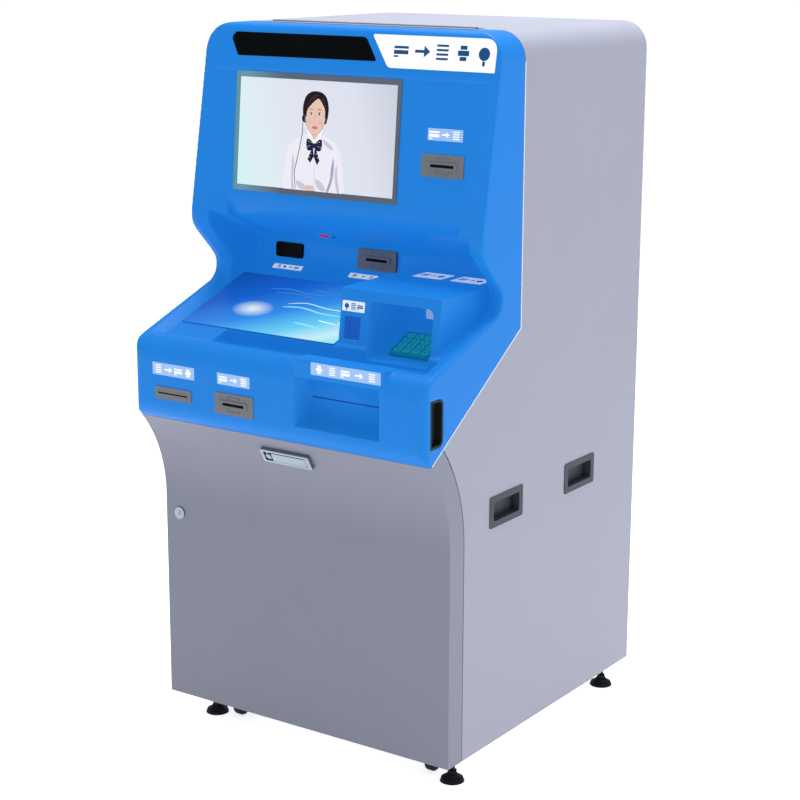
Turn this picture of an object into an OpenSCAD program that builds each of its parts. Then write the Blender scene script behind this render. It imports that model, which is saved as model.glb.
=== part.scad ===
// Self-service bank machine: a blue fascia hinged along the top of a gray sheet cabinet, with a curved
// front door, two screens, card and receipt slots, a PIN pad, a form outlet, four casters and four feet.
// Millimetres, +Z up, the customer stands on the -Y side. The origin is on the floor under the middle.

/* [Overall size] */
// Overall width
width = 770; // [740:10:940]
// Overall depth, from the lower front to the rear screws
depth = 898; // [870:2:1080]
// Height of the top sheet above the floor
height = 1600; // [1600:10:1920]
// Height of the cabinet's underside above the floor
clearance = 75; // [72:1:85]
// Height of the fascia's lower edge above the floor
belly = 755; // [745:5:800]

/* [Sheet and edges] */
// Thickness of the fascia's sheet
fascia_wall = 2.5; // [2:0.5:3]
// Thickness of the cabinet's sheet
sheet = 2; // [1.5:0.5:2.5]
// Radius of the top corners seen from the front
shoulder = 60; // [40:5:70]
// Width of each cheek beside the counter
cheek = 40; // [32:1:44]
// Gap between the fascia and the cabinet
seam = 2; // [2:0.5:4]

/* [Devices] */
// Width of each 16:9 screen
screen_w = 420; // [360:10:450]
// Width of a card slot
card_slot = 57; // [56:1:62]
// Width of a card slot's bezel
card_bezel = 104; // [92:2:120]
// Width of the form outlet
outlet_w = 215; // [212:1:230]
// Width of the PIN pad
pad_w = 101; // [92:1:120]
// Radius of a caster wheel
wheel_r = 25; // [21:1:26]

/* [Choice] */
// The sub-part to draw, or all

/* [Hidden] */
$fn = 48;
fit = 0.3;
run_fit = 0.05;
// How far the raised slot frames stand out of the lower front, so that the whole machine is centred.
proud = 4.7;
front_y = -(depth - proud) / 2;
half = width / 2;
key_columns = 4;
key_rows = 4;
key_names = [for (row = [1 : key_rows], column = [1 : key_columns]) str("pin_key_", row, "_", column)];

// Colours.
blue = [0.13, 0.47, 0.86];
gray = [0.66, 0.67, 0.72];
dark = [0.16, 0.17, 0.18];
bezel_gray = [0.36, 0.38, 0.42];
chrome = [0.75, 0.77, 0.79];
black = [0.03, 0.03, 0.04];
label_blue = [0.6, 0.73, 0.92];

// Side profile. Depths run back from the lower front face, heights from the floor.
seam_depth = 362;
seam_z = belly + 228;
seam_start = 25;
waist_depth = 395;
head_z = height - 437.4;
rim_slope = tan(10.08);
rim_foot = 199.7;
function rim_depth(z) = rim_foot + (z - head_z) * rim_slope;
rim_lean = atan(rim_slope);
band_z = height - 97;
panel_slope = tan(5);
panel_lean = 5;
function panel_depth(z) = rim_depth(band_z) + 3.3 + (z - band_z) * panel_slope;
crest_z = height - 410;
overhang_z = belly + 363 + (height - 1600);
overhang_lean = atan2(crest_z - overhang_z, waist_depth - panel_depth(crest_z));
deck_front_z = belly + 157.6;
deck_slope = tan(19.5);
deck_lean = 19.5;
function deck_z(d) = deck_front_z + d * deck_slope;
wall_lean = 3.5;
wall_z = deck_z(waist_depth - 4);
function wall_depth(z) = waist_depth - 4 + (z - wall_z) * (4 / (overhang_z - wall_z));
cheek_front_z = belly + 170.3;
cheek_back = [316.8, belly + 284.5];
lip_r = 50;
lip_lean = atan((cheek_back[1] - cheek_front_z) / cheek_back[0]);
lip_depth = 38;
lip_crest_z = cheek_front_z + lip_depth * tan(lip_lean);
// The height at which the upright front starts to round over into the counter's lip.
lip_round_z = cheek_front_z - lip_r * tan((90 - lip_lean) / 2);
ledge_depth = 112.5;
ledge_z = belly + 162;
ledge_x = -212;
lip_z = belly + 14.5;
cheek_x = half - cheek;
head_edge = half - 13;
far = 520;

// Hood over the fingerprint reader and the PIN pad.
hood_x = [81.5, cheek_x - 12];
hood_top = belly + 320;
hood_front = 138;
hood_foot = 116;
function hood_depth(z) = hood_foot + (z - ledge_z) * (hood_front - hood_foot) / (hood_top - ledge_z);
hood_lean = atan((hood_front - hood_foot) / (hood_top - ledge_z));
cavity_x = [hood_x[1] - 173, hood_x[1] - 17];
cavity_z = [belly + 177, belly + 296];
cavity_back = 245;
pad_lean = 22.6;

// Block in front of the hood, whose upright face carries the long label.
block_x = [58, cavity_x[1] - 31];
block_z = belly + 188;

// Form outlet, low on the right.
outlet_x = 167.5;
outlet_z = [belly + 43, belly + 149];
outlet_depth = 60;

// Door, whose upper part bends forward on a large radius to meet the fascia.
door_depth = 97;
bend_r = 304;
bend_z = belly - 200;
return_depth = 51.75;
door_gap = 2.5;
hinge_x = half - 8;
hinge_depth = door_depth + 62.5;
arm_levels = [clearance + 85, bend_z - 105];
pin_r = 3;

// Fascia hinge on the roof.
top_pin_z = height + 2.5;
top_pin_r = 1.3;
top_hinge_half = 268;
top_hinge_break = 181.5;

// Undercarriage.
foot_x = half - 54;
foot_depth = [197, depth - 33];
caster_x = half - 115;
caster_axle_depth = [215, depth - 66];
caster_trail = 8;
axle_z = wheel_r + 2;
axle_r = 4;
stem_r = 6;

// ---------- helpers ----------
function unit(v) = v / norm(v);
function wrap_turn(a) = a > 180 ? a - 360 : (a < -180 ? a + 360 : a);

// The points of one rounded corner at b, between a and c.
function corner(a, b, c, r, steps = 8) =
    r <= 0 ? [[b[0], b[1]]] :
    let (
        u = unit([a[0] - b[0], a[1] - b[1]]),
        w = unit([c[0] - b[0], c[1] - b[1]]),
        bend = acos(u * w) / 2,
        centre = [b[0], b[1]] + unit(u + w) * (r / sin(bend)),
        start = [b[0], b[1]] + u * (r / tan(bend)) - centre,
        stop = [b[0], b[1]] + w * (r / tan(bend)) - centre,
        first = atan2(start[1], start[0]),
        turn = wrap_turn(atan2(stop[1], stop[0]) - first)
    )
    [for (i = [0 : steps]) centre + r * [cos(first + turn * i / steps), sin(first + turn * i / steps)]];

// A closed outline from corner points [x, y, radius].
function rounded(points) = [
    for (i = [0 : len(points) - 1])
        let (before = points[(i + len(points) - 1) % len(points)], after = points[(i + 1) % len(points)])
        each corner(before, points[i], after, points[i][2])
];

// Draws a depth-height outline between two places across the machine.
module across(x0, x1) {
    translate([x0, front_y, 0])
        rotate([90, 0, 90])
            linear_extrude(x1 - x0)
                children();
}

// Puts its children at a place across, back and up, turned so that local +Z leaves a face leaning back by lean.
module facing(x, d, z, lean = 0) {
    translate([x, front_y + d, z])
        rotate([90 - lean, 0, 0])
            children();
}

module on_rim(x, z) facing(x, rim_depth(z), z, rim_lean) children();
module on_panel(x, z) facing(x, panel_depth(z), z, panel_lean) children();
module on_wall(x, z) facing(x, wall_depth(z), z, wall_lean) children();
module on_hood(x, z) facing(x, hood_depth(z), z, hood_lean) children();
module on_front(x, z) facing(x, 0, z) children();
module on_deck(x, d) facing(x, d, deck_z(d), 90 - deck_lean) children();

// A centred block standing on local z = 0, or from z0 up.
module slab(w, h, t, z0 = 0) {
    translate([-w / 2, -h / 2, z0])
        cube([w, h, t]);
}

// A slab with rounded corners.
module tile(w, h, t, r, z0 = 0) {
    translate([0, 0, z0])
        linear_extrude(t)
            plate_outline(w, h, r);
}

module plate_outline(w, h, r) {
    square([w - 2 * r, h], center = true);
    square([w, h - 2 * r], center = true);
    for (sx = [-1, 1], sy = [-1, 1])
        translate([sx * (w / 2 - r), sy * (h / 2 - r)])
            circle(r);
}

// Front outline of the machine, taken in by g, with rounded shoulders.
module arch(g) {
    r = shoulder - g;
    translate([-half + g, -50])
        square([width - 2 * g, height - g - r + 50]);
    translate([-half + g + r, 0])
        square([width - 2 * g - 2 * r, height - g]);
    for (side = [-1, 1])
        translate([side * (half - g - r), height - g - r])
            circle(r);
}

// Plan outline of the fascia, taken in by g, with rounded front corners.
module plan(g) {
    r = 20;
    translate([-half + g, front_y + r])
        square([width - 2 * g, far + 40]);
    translate([-half + r, front_y + g])
        square([width - 2 * r, far]);
    for (side = [-1, 1])
        translate([side * (half - r), front_y + r])
            circle(r - g);
}

// ---------- fascia ----------
module rim_outline() {
    polygon(rounded([
        [far, height, 0],
        [rim_depth(height), height, 18],
        [rim_foot, head_z, 55],
        [cheek_back[0], cheek_back[1], 39],
        [0, cheek_front_z, lip_r],
        [0, lip_z, 48],
        [63, belly - 29, 0],
        [far, belly - 29, 0]
    ]));
}

// The front of the machine between the cheeks, with its counter at full height or stepped down to the ledge.
module inner_outline(stepped) {
    counter = stepped
        ? [[ledge_depth, deck_z(ledge_depth), 2], [hood_foot, ledge_z, 3]]
        : [[lip_depth + 24, deck_z(lip_depth + 24), 15]];
    polygon(rounded(concat([
        [far, height, 0],
        [rim_depth(height), height, 18],
        [rim_depth(band_z), band_z, 0],
        [panel_depth(band_z), band_z, 0],
        [panel_depth(crest_z), crest_z, 30],
        [waist_depth, overhang_z, 30],
        [waist_depth - 4, wall_z, 44]
    ], counter, [
        [lip_depth, lip_crest_z, 12],
        [0, cheek_front_z, lip_r],
        [0, lip_z, 48],
        [63, belly - 29, 0],
        [far, belly - 29, 0]
    ])));
}

module hood_outline() {
    polygon(rounded([
        [waist_depth + 10, hood_top, 0],
        [hood_front, hood_top, 3],
        [hood_foot, ledge_z, 0],
        [hood_foot, ledge_z - 20, 0],
        [waist_depth + 10, ledge_z - 20, 0]
    ]));
}

module block_outline() {
    polygon(rounded([
        [0, block_z, 2],
        [lip_depth + 6, block_z, 8],
        [hood_foot, ledge_z, 3],
        [hood_foot, ledge_z - 20, 0],
        [0, lip_round_z - 10, 0]
    ]));
}

// The cheek beside the head, whose inner side slopes back to the display panel.
module head_cheeks(g) {
    for (side = [-1, 1])
        translate([0, front_y + rim_foot, head_z])
            rotate([-rim_lean, 0, 0])
                linear_extrude(height - head_z + 60)
                    offset(delta = -g)
                        polygon([
                            [side * head_edge, 0],
                            [side * (head_edge - 67), 31],
                            [side * (head_edge - 67), 140],
                            [side * (half + 60), 140],
                            [side * (half + 60), 0]
                        ]);
}

// The fascia's solid form, taken in by g on every outer face.
module bulk(g) {
    intersection() {
        union() {
            across(-half, half)
                offset(delta = -g)
                    inner_outline(true);
            across(-half, ledge_x - g)
                offset(delta = -g)
                    inner_outline(false);
            across(hood_x[0] + g, hood_x[1] - g)
                offset(delta = -g)
                    hood_outline();
            across(block_x[0] + g, block_x[1] - g)
                offset(delta = -g)
                    block_outline();
            for (side = [-1, 1]) {
                across(side > 0 ? cheek_x + g : -half, side > 0 ? half : -cheek_x - g)
                    intersection() {
                        offset(delta = -g)
                            rim_outline();
                        square([far, crest_z - g]);
                    }
                across(side > 0 ? head_edge + g : -half, side > 0 ? half : -head_edge - g)
                    offset(delta = -g)
                        rim_outline();
            }
            intersection() {
                head_cheeks(g);
                across(-half, half)
                    intersection() {
                        offset(delta = -g)
                            rim_outline();
                        translate([0, crest_z + g])
                            square([far, height]);
                    }
            }
        }
        translate([0, front_y + far, 0])
            rotate([90, 0, 0])
                linear_extrude(far + 20)
                    arch(g);
        translate([0, 0, belly - 60])
            linear_extrude(height)
                plan(g);
    }
}

// The hollows sunk into the fascia, grown by g.
module pockets(g) {
    facing(outlet_x, -5, (outlet_z[0] + outlet_z[1]) / 2)
        translate([0, 0, -outlet_depth - 5 - g])
            slab(outlet_w + 2 * g, outlet_z[1] - outlet_z[0] + 2 * g, outlet_depth + 5 + g);
    across(cavity_x[0] - g, cavity_x[1] + g)
        offset(delta = g)
            polygon([
                [90, cavity_z[0] - 10],
                [hood_depth(cavity_z[0]), cavity_z[0]],
                [cavity_back, cavity_z[0] + (cavity_back - hood_foot) * tan(pad_lean)],
                [cavity_back, cavity_z[1]],
                [90, cavity_z[1]]
            ]);
    on_hood(fingerprint_x, fingerprint_z)
        translate([0, 0, -14 - g])
            slab(43 + 2 * g, 48 + 2 * g, 40);
}

fingerprint_x = hood_x[0] + 34;
fingerprint_z = belly + 236;

// Cut-outs for the devices behind the fascia.
module device_holes() {
    on_panel(screen_x, screen_z)
        slab(screen_w + 12, screen_h + 12, 40, -20);
    on_rim(window_x, window_z)
        slab(340, 38, 40, -20);
    for (place = card_places)
        facing(place[0], place[1], place[2], place[3]) {
            slab(88, 32, 40, -20);
            slab(card_bezel + 1, card_bezel * 0.45 + 1, 20);
        }
    on_front(receipt_x, slot_z)
        slab(88, 18, 40, -20);
    on_wall(scanner_x, waist_device_z) {
        slab(66, 26, 60, -20);
        slab(77, 35, 20);
    }
    on_deck(touch_x, touch_d)
        slab(screen_w - 16, screen_h - 16, 40, -20);
    on_pad()
        slab(pad_w + 1, pad_h + 1, 40, -20);
    for (light = lights)
        on_overhang(light[0])
            cylinder(r = light[1] - 2, h = 20, center = true);
    for (side = [-1, 1])
        side_pull_place(side)
            translate([0, 0, -10])
                linear_extrude(20)
                    pull_outline(side, 0.5);
    facing(outlet_x, outlet_depth, belly + 95)
        slab(outlet_w - 5, 3.5, 20, -10);
}

screen_h = screen_w * 9 / 16;
screen_x = -70.7;
screen_z = height - 232;
window_x = -115;
window_z = height - 44.5;
slot_z = belly + 64;
receipt_x = -270;
bank_x = -100.5;
outlet_slot_x = 260;
outlet_slot_z = height - 273.5;
waist_device_z = belly + 330;
waist_slot_x = -3;
scanner_x = -250;
touch_x = hood_x[0] - 1.9 - screen_w / 2;
touch_d = ledge_depth + screen_h / 2 * cos(deck_lean);
lights = [[-133, 11.5], [-108, 5]];
// Each card slot's place across, back and up, its face's lean, and how far a riser lifts its frame off the face.
card_places = [
    [outlet_slot_x, panel_depth(outlet_slot_z), outlet_slot_z, panel_lean, 0],
    [waist_slot_x, wall_depth(waist_device_z), waist_device_z, wall_lean, 6],
    [bank_x, 0, slot_z, 0, 0]
];

module on_overhang(x) {
    d = waist_depth - 30;
    z = overhang_z + 30 * tan(overhang_lean);
    facing(x, d, z, overhang_lean - 90)
        children();
}

// The side pull's place, with local +Z leaving the side face.
module side_pull_place(side) {
    translate([side * half, front_y + 43.5, belly + 86])
        rotate([90, 0, side * 90])
            children();
}

// A side pull's outline, grown by g: straight along the front, with rounded rear corners.
module pull_outline(side, g) {
    front = -side * (22.5 + g);
    top = 50 + g;
    polygon(rounded([[front, -top, 2], [-front, -top, 14 + g], [-front, top, 14 + g], [front, top, 2]]));
}

module fascia_shell() {
    side_x = cheek_x + fascia_wall + 0.2;
    color(blue)
        difference() {
            bulk(0);
            pockets(0);
            difference() {
                bulk(fascia_wall);
                pockets(fascia_wall);
            }
            device_holes();
            for (side = [-1, 1])
                across(side > 0 ? side_x : -half - 1, side > 0 ? half + 1 : -side_x)
                    behind_seam(0);
            across(-side_x - 1, side_x + 1)
                difference() {
                    behind_seam(0);
                    translate([seam_depth - 2, seam_z])
                        square([waist_depth + 5 - seam_depth, overhang_z + 60 - seam_z]);
                }
        }
}

// Everything behind the seam line, moved back by gap.
module behind_seam(gap) {
    edge = seam_depth - 1 + gap;
    rise = (seam_z - belly) / (seam_depth - seam_start);
    polygon([
        [-60, belly],
        [seam_start + gap, belly],
        [edge, belly + rise * (edge - seam_start - gap)],
        [edge, height + 60],
        [depth + 60, height + 60],
        [depth + 60, belly - 200],
        [-60, belly - 200]
    ]);
}

module display_bezel() {
    color(bezel_gray)
        on_panel(screen_x, screen_z)
            difference() {
                union() {
                    tile(screen_w + 20, screen_h + 24, 2.5, 4);
                    slab(screen_w + 10, screen_h + 10, 8.5, -8);
                }
                slab(screen_w, screen_h, 30, -15);
            }
}

module display_panel() {
    color(black)
        on_panel(screen_x, screen_z) {
            slab(screen_w - 0.6, screen_h - 0.6, 9, -8);
            slab(screen_w + 8, screen_h + 8, 24, -32.5);
        }
}

module sensor_window() {
    color(black)
        on_rim(window_x, window_z)
            union() {
                slab(336, 34, 8.5, -8);
                translate([0, 0, 0.2])
                    linear_extrude(1)
                        polygon(rounded([
                            [-178, -25.5, 6],
                            [-190, 25.5, 14],
                            [164, 25.5, 16],
                            [196, -24, 3]
                        ]));
            }
}

module header_sign() {
    color([0.92, 0.94, 0.97])
        on_rim(half, height - 44)
            translate([0, 0, 0.2])
                linear_extrude(2)
                    polygon(rounded([
                        [-319, 31.5, 3],
                        [-273, -36.5, 14],
                        [-12.5, -36.5, 2],
                        [-12.5, 31.5, 24]
                    ]));
}

module slot_bezels() {
    color(bezel_gray) {
        for (place = card_places)
            facing(place[0], place[1], place[2], place[3])
                difference() {
                    union() {
                        tile(card_bezel, card_bezel * 0.45, place[4] + 2.5, 3, 0.2);
                        slab(86, 30, 13, -10);
                        tile(card_slot + 16, 16, place[4] + 4.5, 3, 0.2);
                    }
                    slab(card_slot, 3.2, 40, -20);
                }
        on_front(receipt_x, slot_z)
            difference() {
                union() {
                    tile(101, 27, 2.5, 3, 0.2);
                    slab(86, 16, 13, -10);
                }
                slab(83, 3.2, 40, -20);
            }
    }
}

module scanner_window() {
    color(black)
        on_wall(scanner_x, waist_device_z) {
            tile(76, 34, 6, 6, 0.3);
            slab(64, 24, 52, -50);
        }
}

module status_lights() {
    for (light = lights)
        color(light[1] > 8 ? [0.8, 0.05, 0.05] : [0.1, 0.6, 0.2])
            on_overhang(light[0]) {
                cylinder(r = light[1] - 2.5, h = 12, center = true);
                translate([0, 0, 0.3])
                    cylinder(r1 = light[1], r2 = light[1] * 0.7, h = 2.5);
            }
}

module touch_screen() {
    color([0.2, 0.45, 0.75])
        on_deck(touch_x, touch_d) {
            tile(screen_w, screen_h, 1.6, 3, 0.2);
            slab(screen_w - 18, screen_h - 18, 33, -32);
        }
}

module fingerprint_reader() {
    color(dark)
        on_hood(fingerprint_x, fingerprint_z)
            translate([0, 0, -13.8])
                difference() {
                    tile(42, 47, 9, 3);
                    tile(22, 28, 10, 2, 7);
                }
}

// The PIN pad's seat, sunk into the floor of the cavity.
module on_pad() {
    d = 178;
    z = cavity_z[0] + (d - hood_foot) * tan(pad_lean);
    facing((cavity_x[0] + cavity_x[1]) / 2 + 12, d, z, 90 - pad_lean)
        translate([0, 0, -pad_sink])
            children();
}

pad_h = 84;
pad_sink = 7;
key_pitch = [pad_w / 4.5, 18];
key_travel = 2;
function key_at(i) = [
    (i % key_columns - (key_columns - 1) / 2) * key_pitch[0],
    ((key_rows - 1) / 2 - floor(i / key_columns)) * key_pitch[1] + 1
];

module pinpad_body() {
    color([0.1, 0.45, 0.55])
        on_pad()
            difference() {
                tile(pad_w, pad_h, 12, 4, 0.3);
                for (i = [0 : len(key_names) - 1])
                    translate([key_at(i)[0], key_at(i)[1], 0])
                        slab(key_pitch[0] - 4, key_pitch[1] - 4, 12, 4);
            }
}

module pin_key(i) {
    color([0.55, 0.65, 0.7])
        on_pad()
            translate([key_at(i)[0], key_at(i)[1], 0])
                tile(key_pitch[0] - 5, key_pitch[1] - 5, 8.5, 1.5, 4 + key_travel + 0.6);
}

module label_plates() {
    t = 0.6;
    color(label_blue) {
        on_panel(outlet_slot_x + 2, outlet_slot_z + 64)
            slab(86, 25, t, 0.2);
        for (label = [[-253, 82, 14], [-41, 76, 14]])
            facing(label[0], waist_depth - 19, deck_z(waist_depth - 19) + 5, 52)
                slab(label[1], label[2], t, -0.3);
        for (label = [[174, 73], [271, 74]])
            translate([label[0], front_y + 346, hood_top + 0.2])
                slab(label[1], 56, t);
        on_hood(hood_x[0] + 35, hood_top - 39)
            slab(57, 20, t, 0.2);
        on_front(-269, belly + 116.5)
            slab(118, 27, t, 0.2);
        on_front(-102, belly + 117.5)
            slab(88, 25, t, 0.2);
        on_front(block_x[1] - 93.5, block_z - 16)
            slab(175, 26, t, 0.2);
    }
}

module card_units() {
    color(dark)
        for (place = card_places)
            facing(place[0], place[1], place[2], place[3])
                difference() {
                    slab(92, 46, 150, -160.2);
                    slab(card_slot, 3.2, 140, -140);
                }
}

module receipt_printer() {
    color(dark)
        on_front(receipt_x, slot_z)
            difference() {
                translate([0, 22, 0])
                    slab(116, 96, 140, -150.2);
                slab(83, 3.2, 120, -120);
            }
}

module side_pulls() {
    color(dark)
        for (side = [-1, 1])
            side_pull_place(side)
                difference() {
                    union() {
                        translate([0, 0, -1.2])
                            linear_extrude(1.5)
                                pull_outline(side, 0);
                        translate([0, 0, -18])
                            linear_extrude(18)
                                pull_outline(side, -3);
                    }
                    translate([0, 0, -15])
                        linear_extrude(40)
                            pull_outline(side, -5);
                }
}

// ---------- cabinet ----------
// The door's sweep in the side view: everything in front of a line set back from the door's face by s.
module door_front(s) {
    translate([-60, -10])
        square([60 + door_depth + s, bend_z + 10]);
    intersection() {
        translate([door_depth - bend_r, bend_z])
            circle(bend_r + s, $fn = 180);
        translate([-200, bend_z - 0.01])
            square([800, 400]);
    }
}

module side_sheet_outline(left) {
    difference() {
        intersection() {
            translate([0, clearance])
                square([depth - 2 * sheet, height]);
            union() {
                behind_seam(seam);
                translate([-60, clearance])
                    square([depth + 60, belly - clearance - 0.01]);
            }
        }
        intersection() {
            door_front(return_depth + door_gap);
            translate([-60, -10])
                square([900, (left ? belly - 1 : height) + 10]);
        }
        door_front(0);
    }
}

module arch_tube(g0, g1) {
    translate([0, front_y + depth, 0])
        rotate([90, 0, 0])
            linear_extrude(depth + 10)
                difference() {
                    arch(g0);
                    arch(g1);
                }
}

// The hole in the side sheet for a flush handle.
handle_hole = [121, 57];

module flush_handle_places() {
    for (side = [-1, 1], d = [314.5, depth - 268.5])
        translate([side * half, front_y + d, belly - 152.5])
            rotate([90, 0, side * 90])
                children();
}

module cabinet_wrap() {
    color(gray)
        difference() {
            intersection() {
                arch_tube(0, sheet);
                union() {
                    across(-half - 1, 0)
                        side_sheet_outline(true);
                    across(0, half + 1)
                        side_sheet_outline(false);
                }
            }
            flush_handle_places()
                slab(handle_hole[0], handle_hole[1], 30, -15);
        }
}

// Rear vents: the size of one slit, and how far apart they stand across and up.
vent = [150, 3.5];
vent_pitch = [190, 24];
vent_rows = 8;
screw_head_r = 4.5;
screw_r = 2;
inlet_hole = [46, 26];

rear_screws = concat(
    [for (side = [-1, 1], z = [clearance + 45, (clearance + height) / 2, height - 110]) [side * (half - 20), z]],
    [for (z = [clearance + 22, height - 22], x = [-half / 2, half / 2]) [x, z]]
);

module rear_panel() {
    color(gray)
        difference() {
            translate([0, front_y + depth - sheet, 0])
                rotate([90, 0, 0])
                    linear_extrude(sheet)
                        intersection() {
                            arch(sheet + fit);
                            translate([-half, clearance + sheet + fit])
                                square([width, height]);
                        }
            for (base = [clearance + 230, height - 420], row = [0 : vent_rows - 1], column = [-1 : 1])
                translate([column * vent_pitch[0] - vent[0] / 2, front_y + depth - 10, base + row * vent_pitch[1]])
                    cube([vent[0], 20, vent[1]]);
            for (screw = rear_screws)
                translate([screw[0], front_y + depth, screw[1]])
                    rotate([90, 0, 0])
                        cylinder(r = screw_r + 0.1, h = 10);
            translate([-half + 75, front_y + depth - 10, clearance + 80])
                cube([inlet_hole[0], 20, inlet_hole[1]]);
        }
}

module panel_screws() {
    color(chrome)
        for (screw = rear_screws)
            translate([screw[0], front_y + depth, screw[1]])
                rotate([90, 0, 0]) {
                    cylinder(r = screw_head_r, h = sheet - 0.1);
                    cylinder(r = screw_r, h = 10);
                }
}

module power_inlet() {
    color(black)
        translate([-half + 75 + inlet_hole[0] / 2, front_y + depth, clearance + 80 + inlet_hole[1] / 2])
            rotate([90, 0, 0])
                difference() {
                    union() {
                        tile(56, 36, 1.9, 3);
                        slab(inlet_hole[0] - 2, inlet_hole[1] - 2, 30);
                    }
                    slab(26, 17, 12, -1);
                }
}

// Half spacings of the four anchor bolts, across and back.
anchor = [200, 250];
anchor_r = 6.5;

module base_plate() {
    color(gray)
        difference() {
            translate([-half + sheet + fit, front_y + door_depth + 5, clearance])
                cube([width - 2 * sheet - 2 * fit, depth - door_depth - 5 - 2 * sheet - fit, 2.5]);
            for (side = [-1, 1], d = foot_depth)
                translate([side * foot_x, front_y + d, clearance - 1])
                    cylinder(r = stem_r + run_fit, h = 10);
            for (side = [-1, 1])
                translate([side * caster_x, front_y + caster_axle_depth[0] - caster_trail, clearance - 1])
                    cylinder(r = stem_r + run_fit, h = 10);
            for (sx = [-1, 1], sy = [-1, 1])
                translate([sx * anchor[0], front_y + depth / 2 + 20 + sy * anchor[1], clearance - 1])
                    cylinder(r = anchor_r, h = 10);
        }
}

shelf_z = belly - 115;

module inner_frame() {
    inside = half - sheet;
    color([0.55, 0.56, 0.58]) {
        difference() {
            union() {
                translate([-inside, front_y + 165, shelf_z])
                    cube([2 * inside, depth - 165 - 2 * sheet - fit, 2.5]);
                for (side = [-1, 1])
                    translate([side * (inside - 10) - 10, front_y + 420, clearance + 2.5])
                        cube([20, 40, height - shoulder - clearance - 10]);
            }
            translate([-60, front_y + depth - 160, shelf_z - 5])
                cube([120, 80, 20]);
        }
        for (level = arm_levels, up = [-1, 1])
            translate([0, front_y, level + up * 17 - 1.5])
                difference() {
                    union() {
                        translate([hinge_x, hinge_depth, 0])
                            cylinder(r = 6, h = 3);
                        translate([hinge_x - 6, hinge_depth, 0])
                            cube([inside - hinge_x + 6, 34, 3]);
                    }
                    translate([hinge_x, hinge_depth, -1])
                        cylinder(r = pin_r, h = 6);
                }
        for (level = arm_levels)
            translate([hinge_x, front_y + hinge_depth, level - 21])
                cylinder(r = pin_r, h = 42);
    }
}

case_size = [180, 340, 390];
case_wall = 1.5;

module computer_case() {
    color(dark)
        translate([-half + 85, front_y + 350, clearance + 2.5])
            difference() {
                cube(case_size);
                translate([case_wall, case_wall, case_wall])
                    cube(case_size - 2 * [case_wall, case_wall, case_wall]);
                for (row = [0 : 5])
                    translate([40, -1, 60 + row * 16])
                        cube([100, 4, 6]);
            }
}

printer = [330, 300, 205];
printer_depth = 330;
tray_size = [240, 280, 42];

module form_printer() {
    color([0.75, 0.76, 0.78])
        translate([outlet_x, front_y + printer_depth, shelf_z + 2.5])
            difference() {
                union() {
                    translate([-printer[0] / 2, 0, 0])
                        cube(printer);
                    translate([-outlet_w / 2, outlet_depth + fascia_wall + 4 - printer_depth, 199])
                        cube([outlet_w, printer_depth - outlet_depth, 16]);
                }
                translate([-outlet_w / 2 + 3, -printer_depth, 205.25])
                    cube([outlet_w - 6, printer_depth + 100, 3.5]);
                translate([-tray_size[0] / 2 - 1, -1, 8])
                    cube([tray_size[0] + 2, tray_size[1] + 3, tray_size[2] + 2]);
            }
}

module paper_tray() {
    color([0.5, 0.52, 0.55])
        translate([outlet_x, front_y + printer_depth - 12, shelf_z + 2.5 + 8.5])
            difference() {
                translate([-tray_size[0] / 2, 0, 0])
                    cube([tray_size[0], tray_size[1] + 10, tray_size[2]]);
                translate([-tray_size[0] / 2 + 3, 15, 3])
                    cube([tray_size[0] - 6, tray_size[1] - 8, tray_size[2]]);
            }
}

module flush_handles() {
    color(dark)
        flush_handle_places()
            difference() {
                union() {
                    tile(handle_hole[0] + 12, handle_hole[1] + 12, 2, 5, 0);
                    slab(handle_hole[0] - 1, handle_hole[1] - 1, 23, -22);
                }
                tile(handle_hole[0] - 17, handle_hole[1] - 15, 40, 5, -19.5);
            }
}

module top_leaf(towards, from_x, to_x) {
    translate([from_x, front_y + seam_depth, top_pin_z])
        rotate([90, 0, 90])
            linear_extrude(to_x - from_x)
                difference() {
                    union() {
                        circle(2.4);
                        translate([towards > 0 ? 0 : -2.4, -2.4])
                            square([2.4, 2.4]);
                    }
                    circle(top_pin_r + run_fit);
                }
}

module hinge_cabinet_leaf() {
    color(chrome) {
        for (side = [-1, 1]) {
            inner = side > 0 ? top_hinge_break + 0.5 : -top_hinge_break;
            outer = side * top_hinge_half;
            top_leaf(1, min(inner, outer), max(inner, outer));
        }
        translate([-top_hinge_half, front_y + seam_depth + 2.4, height + 0.1])
            cube([2 * top_hinge_half, 26, 1.2]);
        translate([-top_hinge_half + 2, front_y + seam_depth, top_pin_z])
            rotate([0, 90, 0])
                cylinder(r = top_pin_r, h = 2 * top_hinge_half - 4);
    }
}

module hinge_fascia_leaf() {
    color(chrome) {
        top_leaf(-1, -top_hinge_break + 0.5, top_hinge_break);
        translate([-top_hinge_half, front_y + seam_depth - 2.4 - 26, height + 0.1])
            cube([2 * top_hinge_half, 26, 1.2]);
    }
}

// ---------- door ----------
// The door's section for a depth behind its face, ending just under the fascia.
module door_outline(back) {
    intersection() {
        difference() {
            door_front(back);
            door_front(0);
        }
        translate([0, clearance])
            square([400, belly - clearance - 1.2]);
    }
}

// The same with its upper end following the sloping seam.
module door_outline_to_seam(back) {
    intersection() {
        difference() {
            door_front(back);
            door_front(0);
        }
        union() {
            translate([0, clearance])
                square([400, belly - clearance - 1.2]);
            behind_seam(seam);
        }
    }
}

module door_panel() {
    color(gray * 0.86)
        difference() {
            union() {
                across(-half, half)
                    door_outline(sheet);
                across(half - sheet, half)
                    door_outline_to_seam(return_depth);
                across(-half, -half + sheet)
                    door_outline(return_depth);
            }
            on_door(0, latch_z)
                slab(118, 28, 30, -15);
            on_door(lock_x, lock_z)
                cylinder(r = 9.5, h = 30, center = true);
        }
}

latch_z = belly - 45;
lock_x = -half + 40;
lock_z = bend_z - 42;

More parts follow.
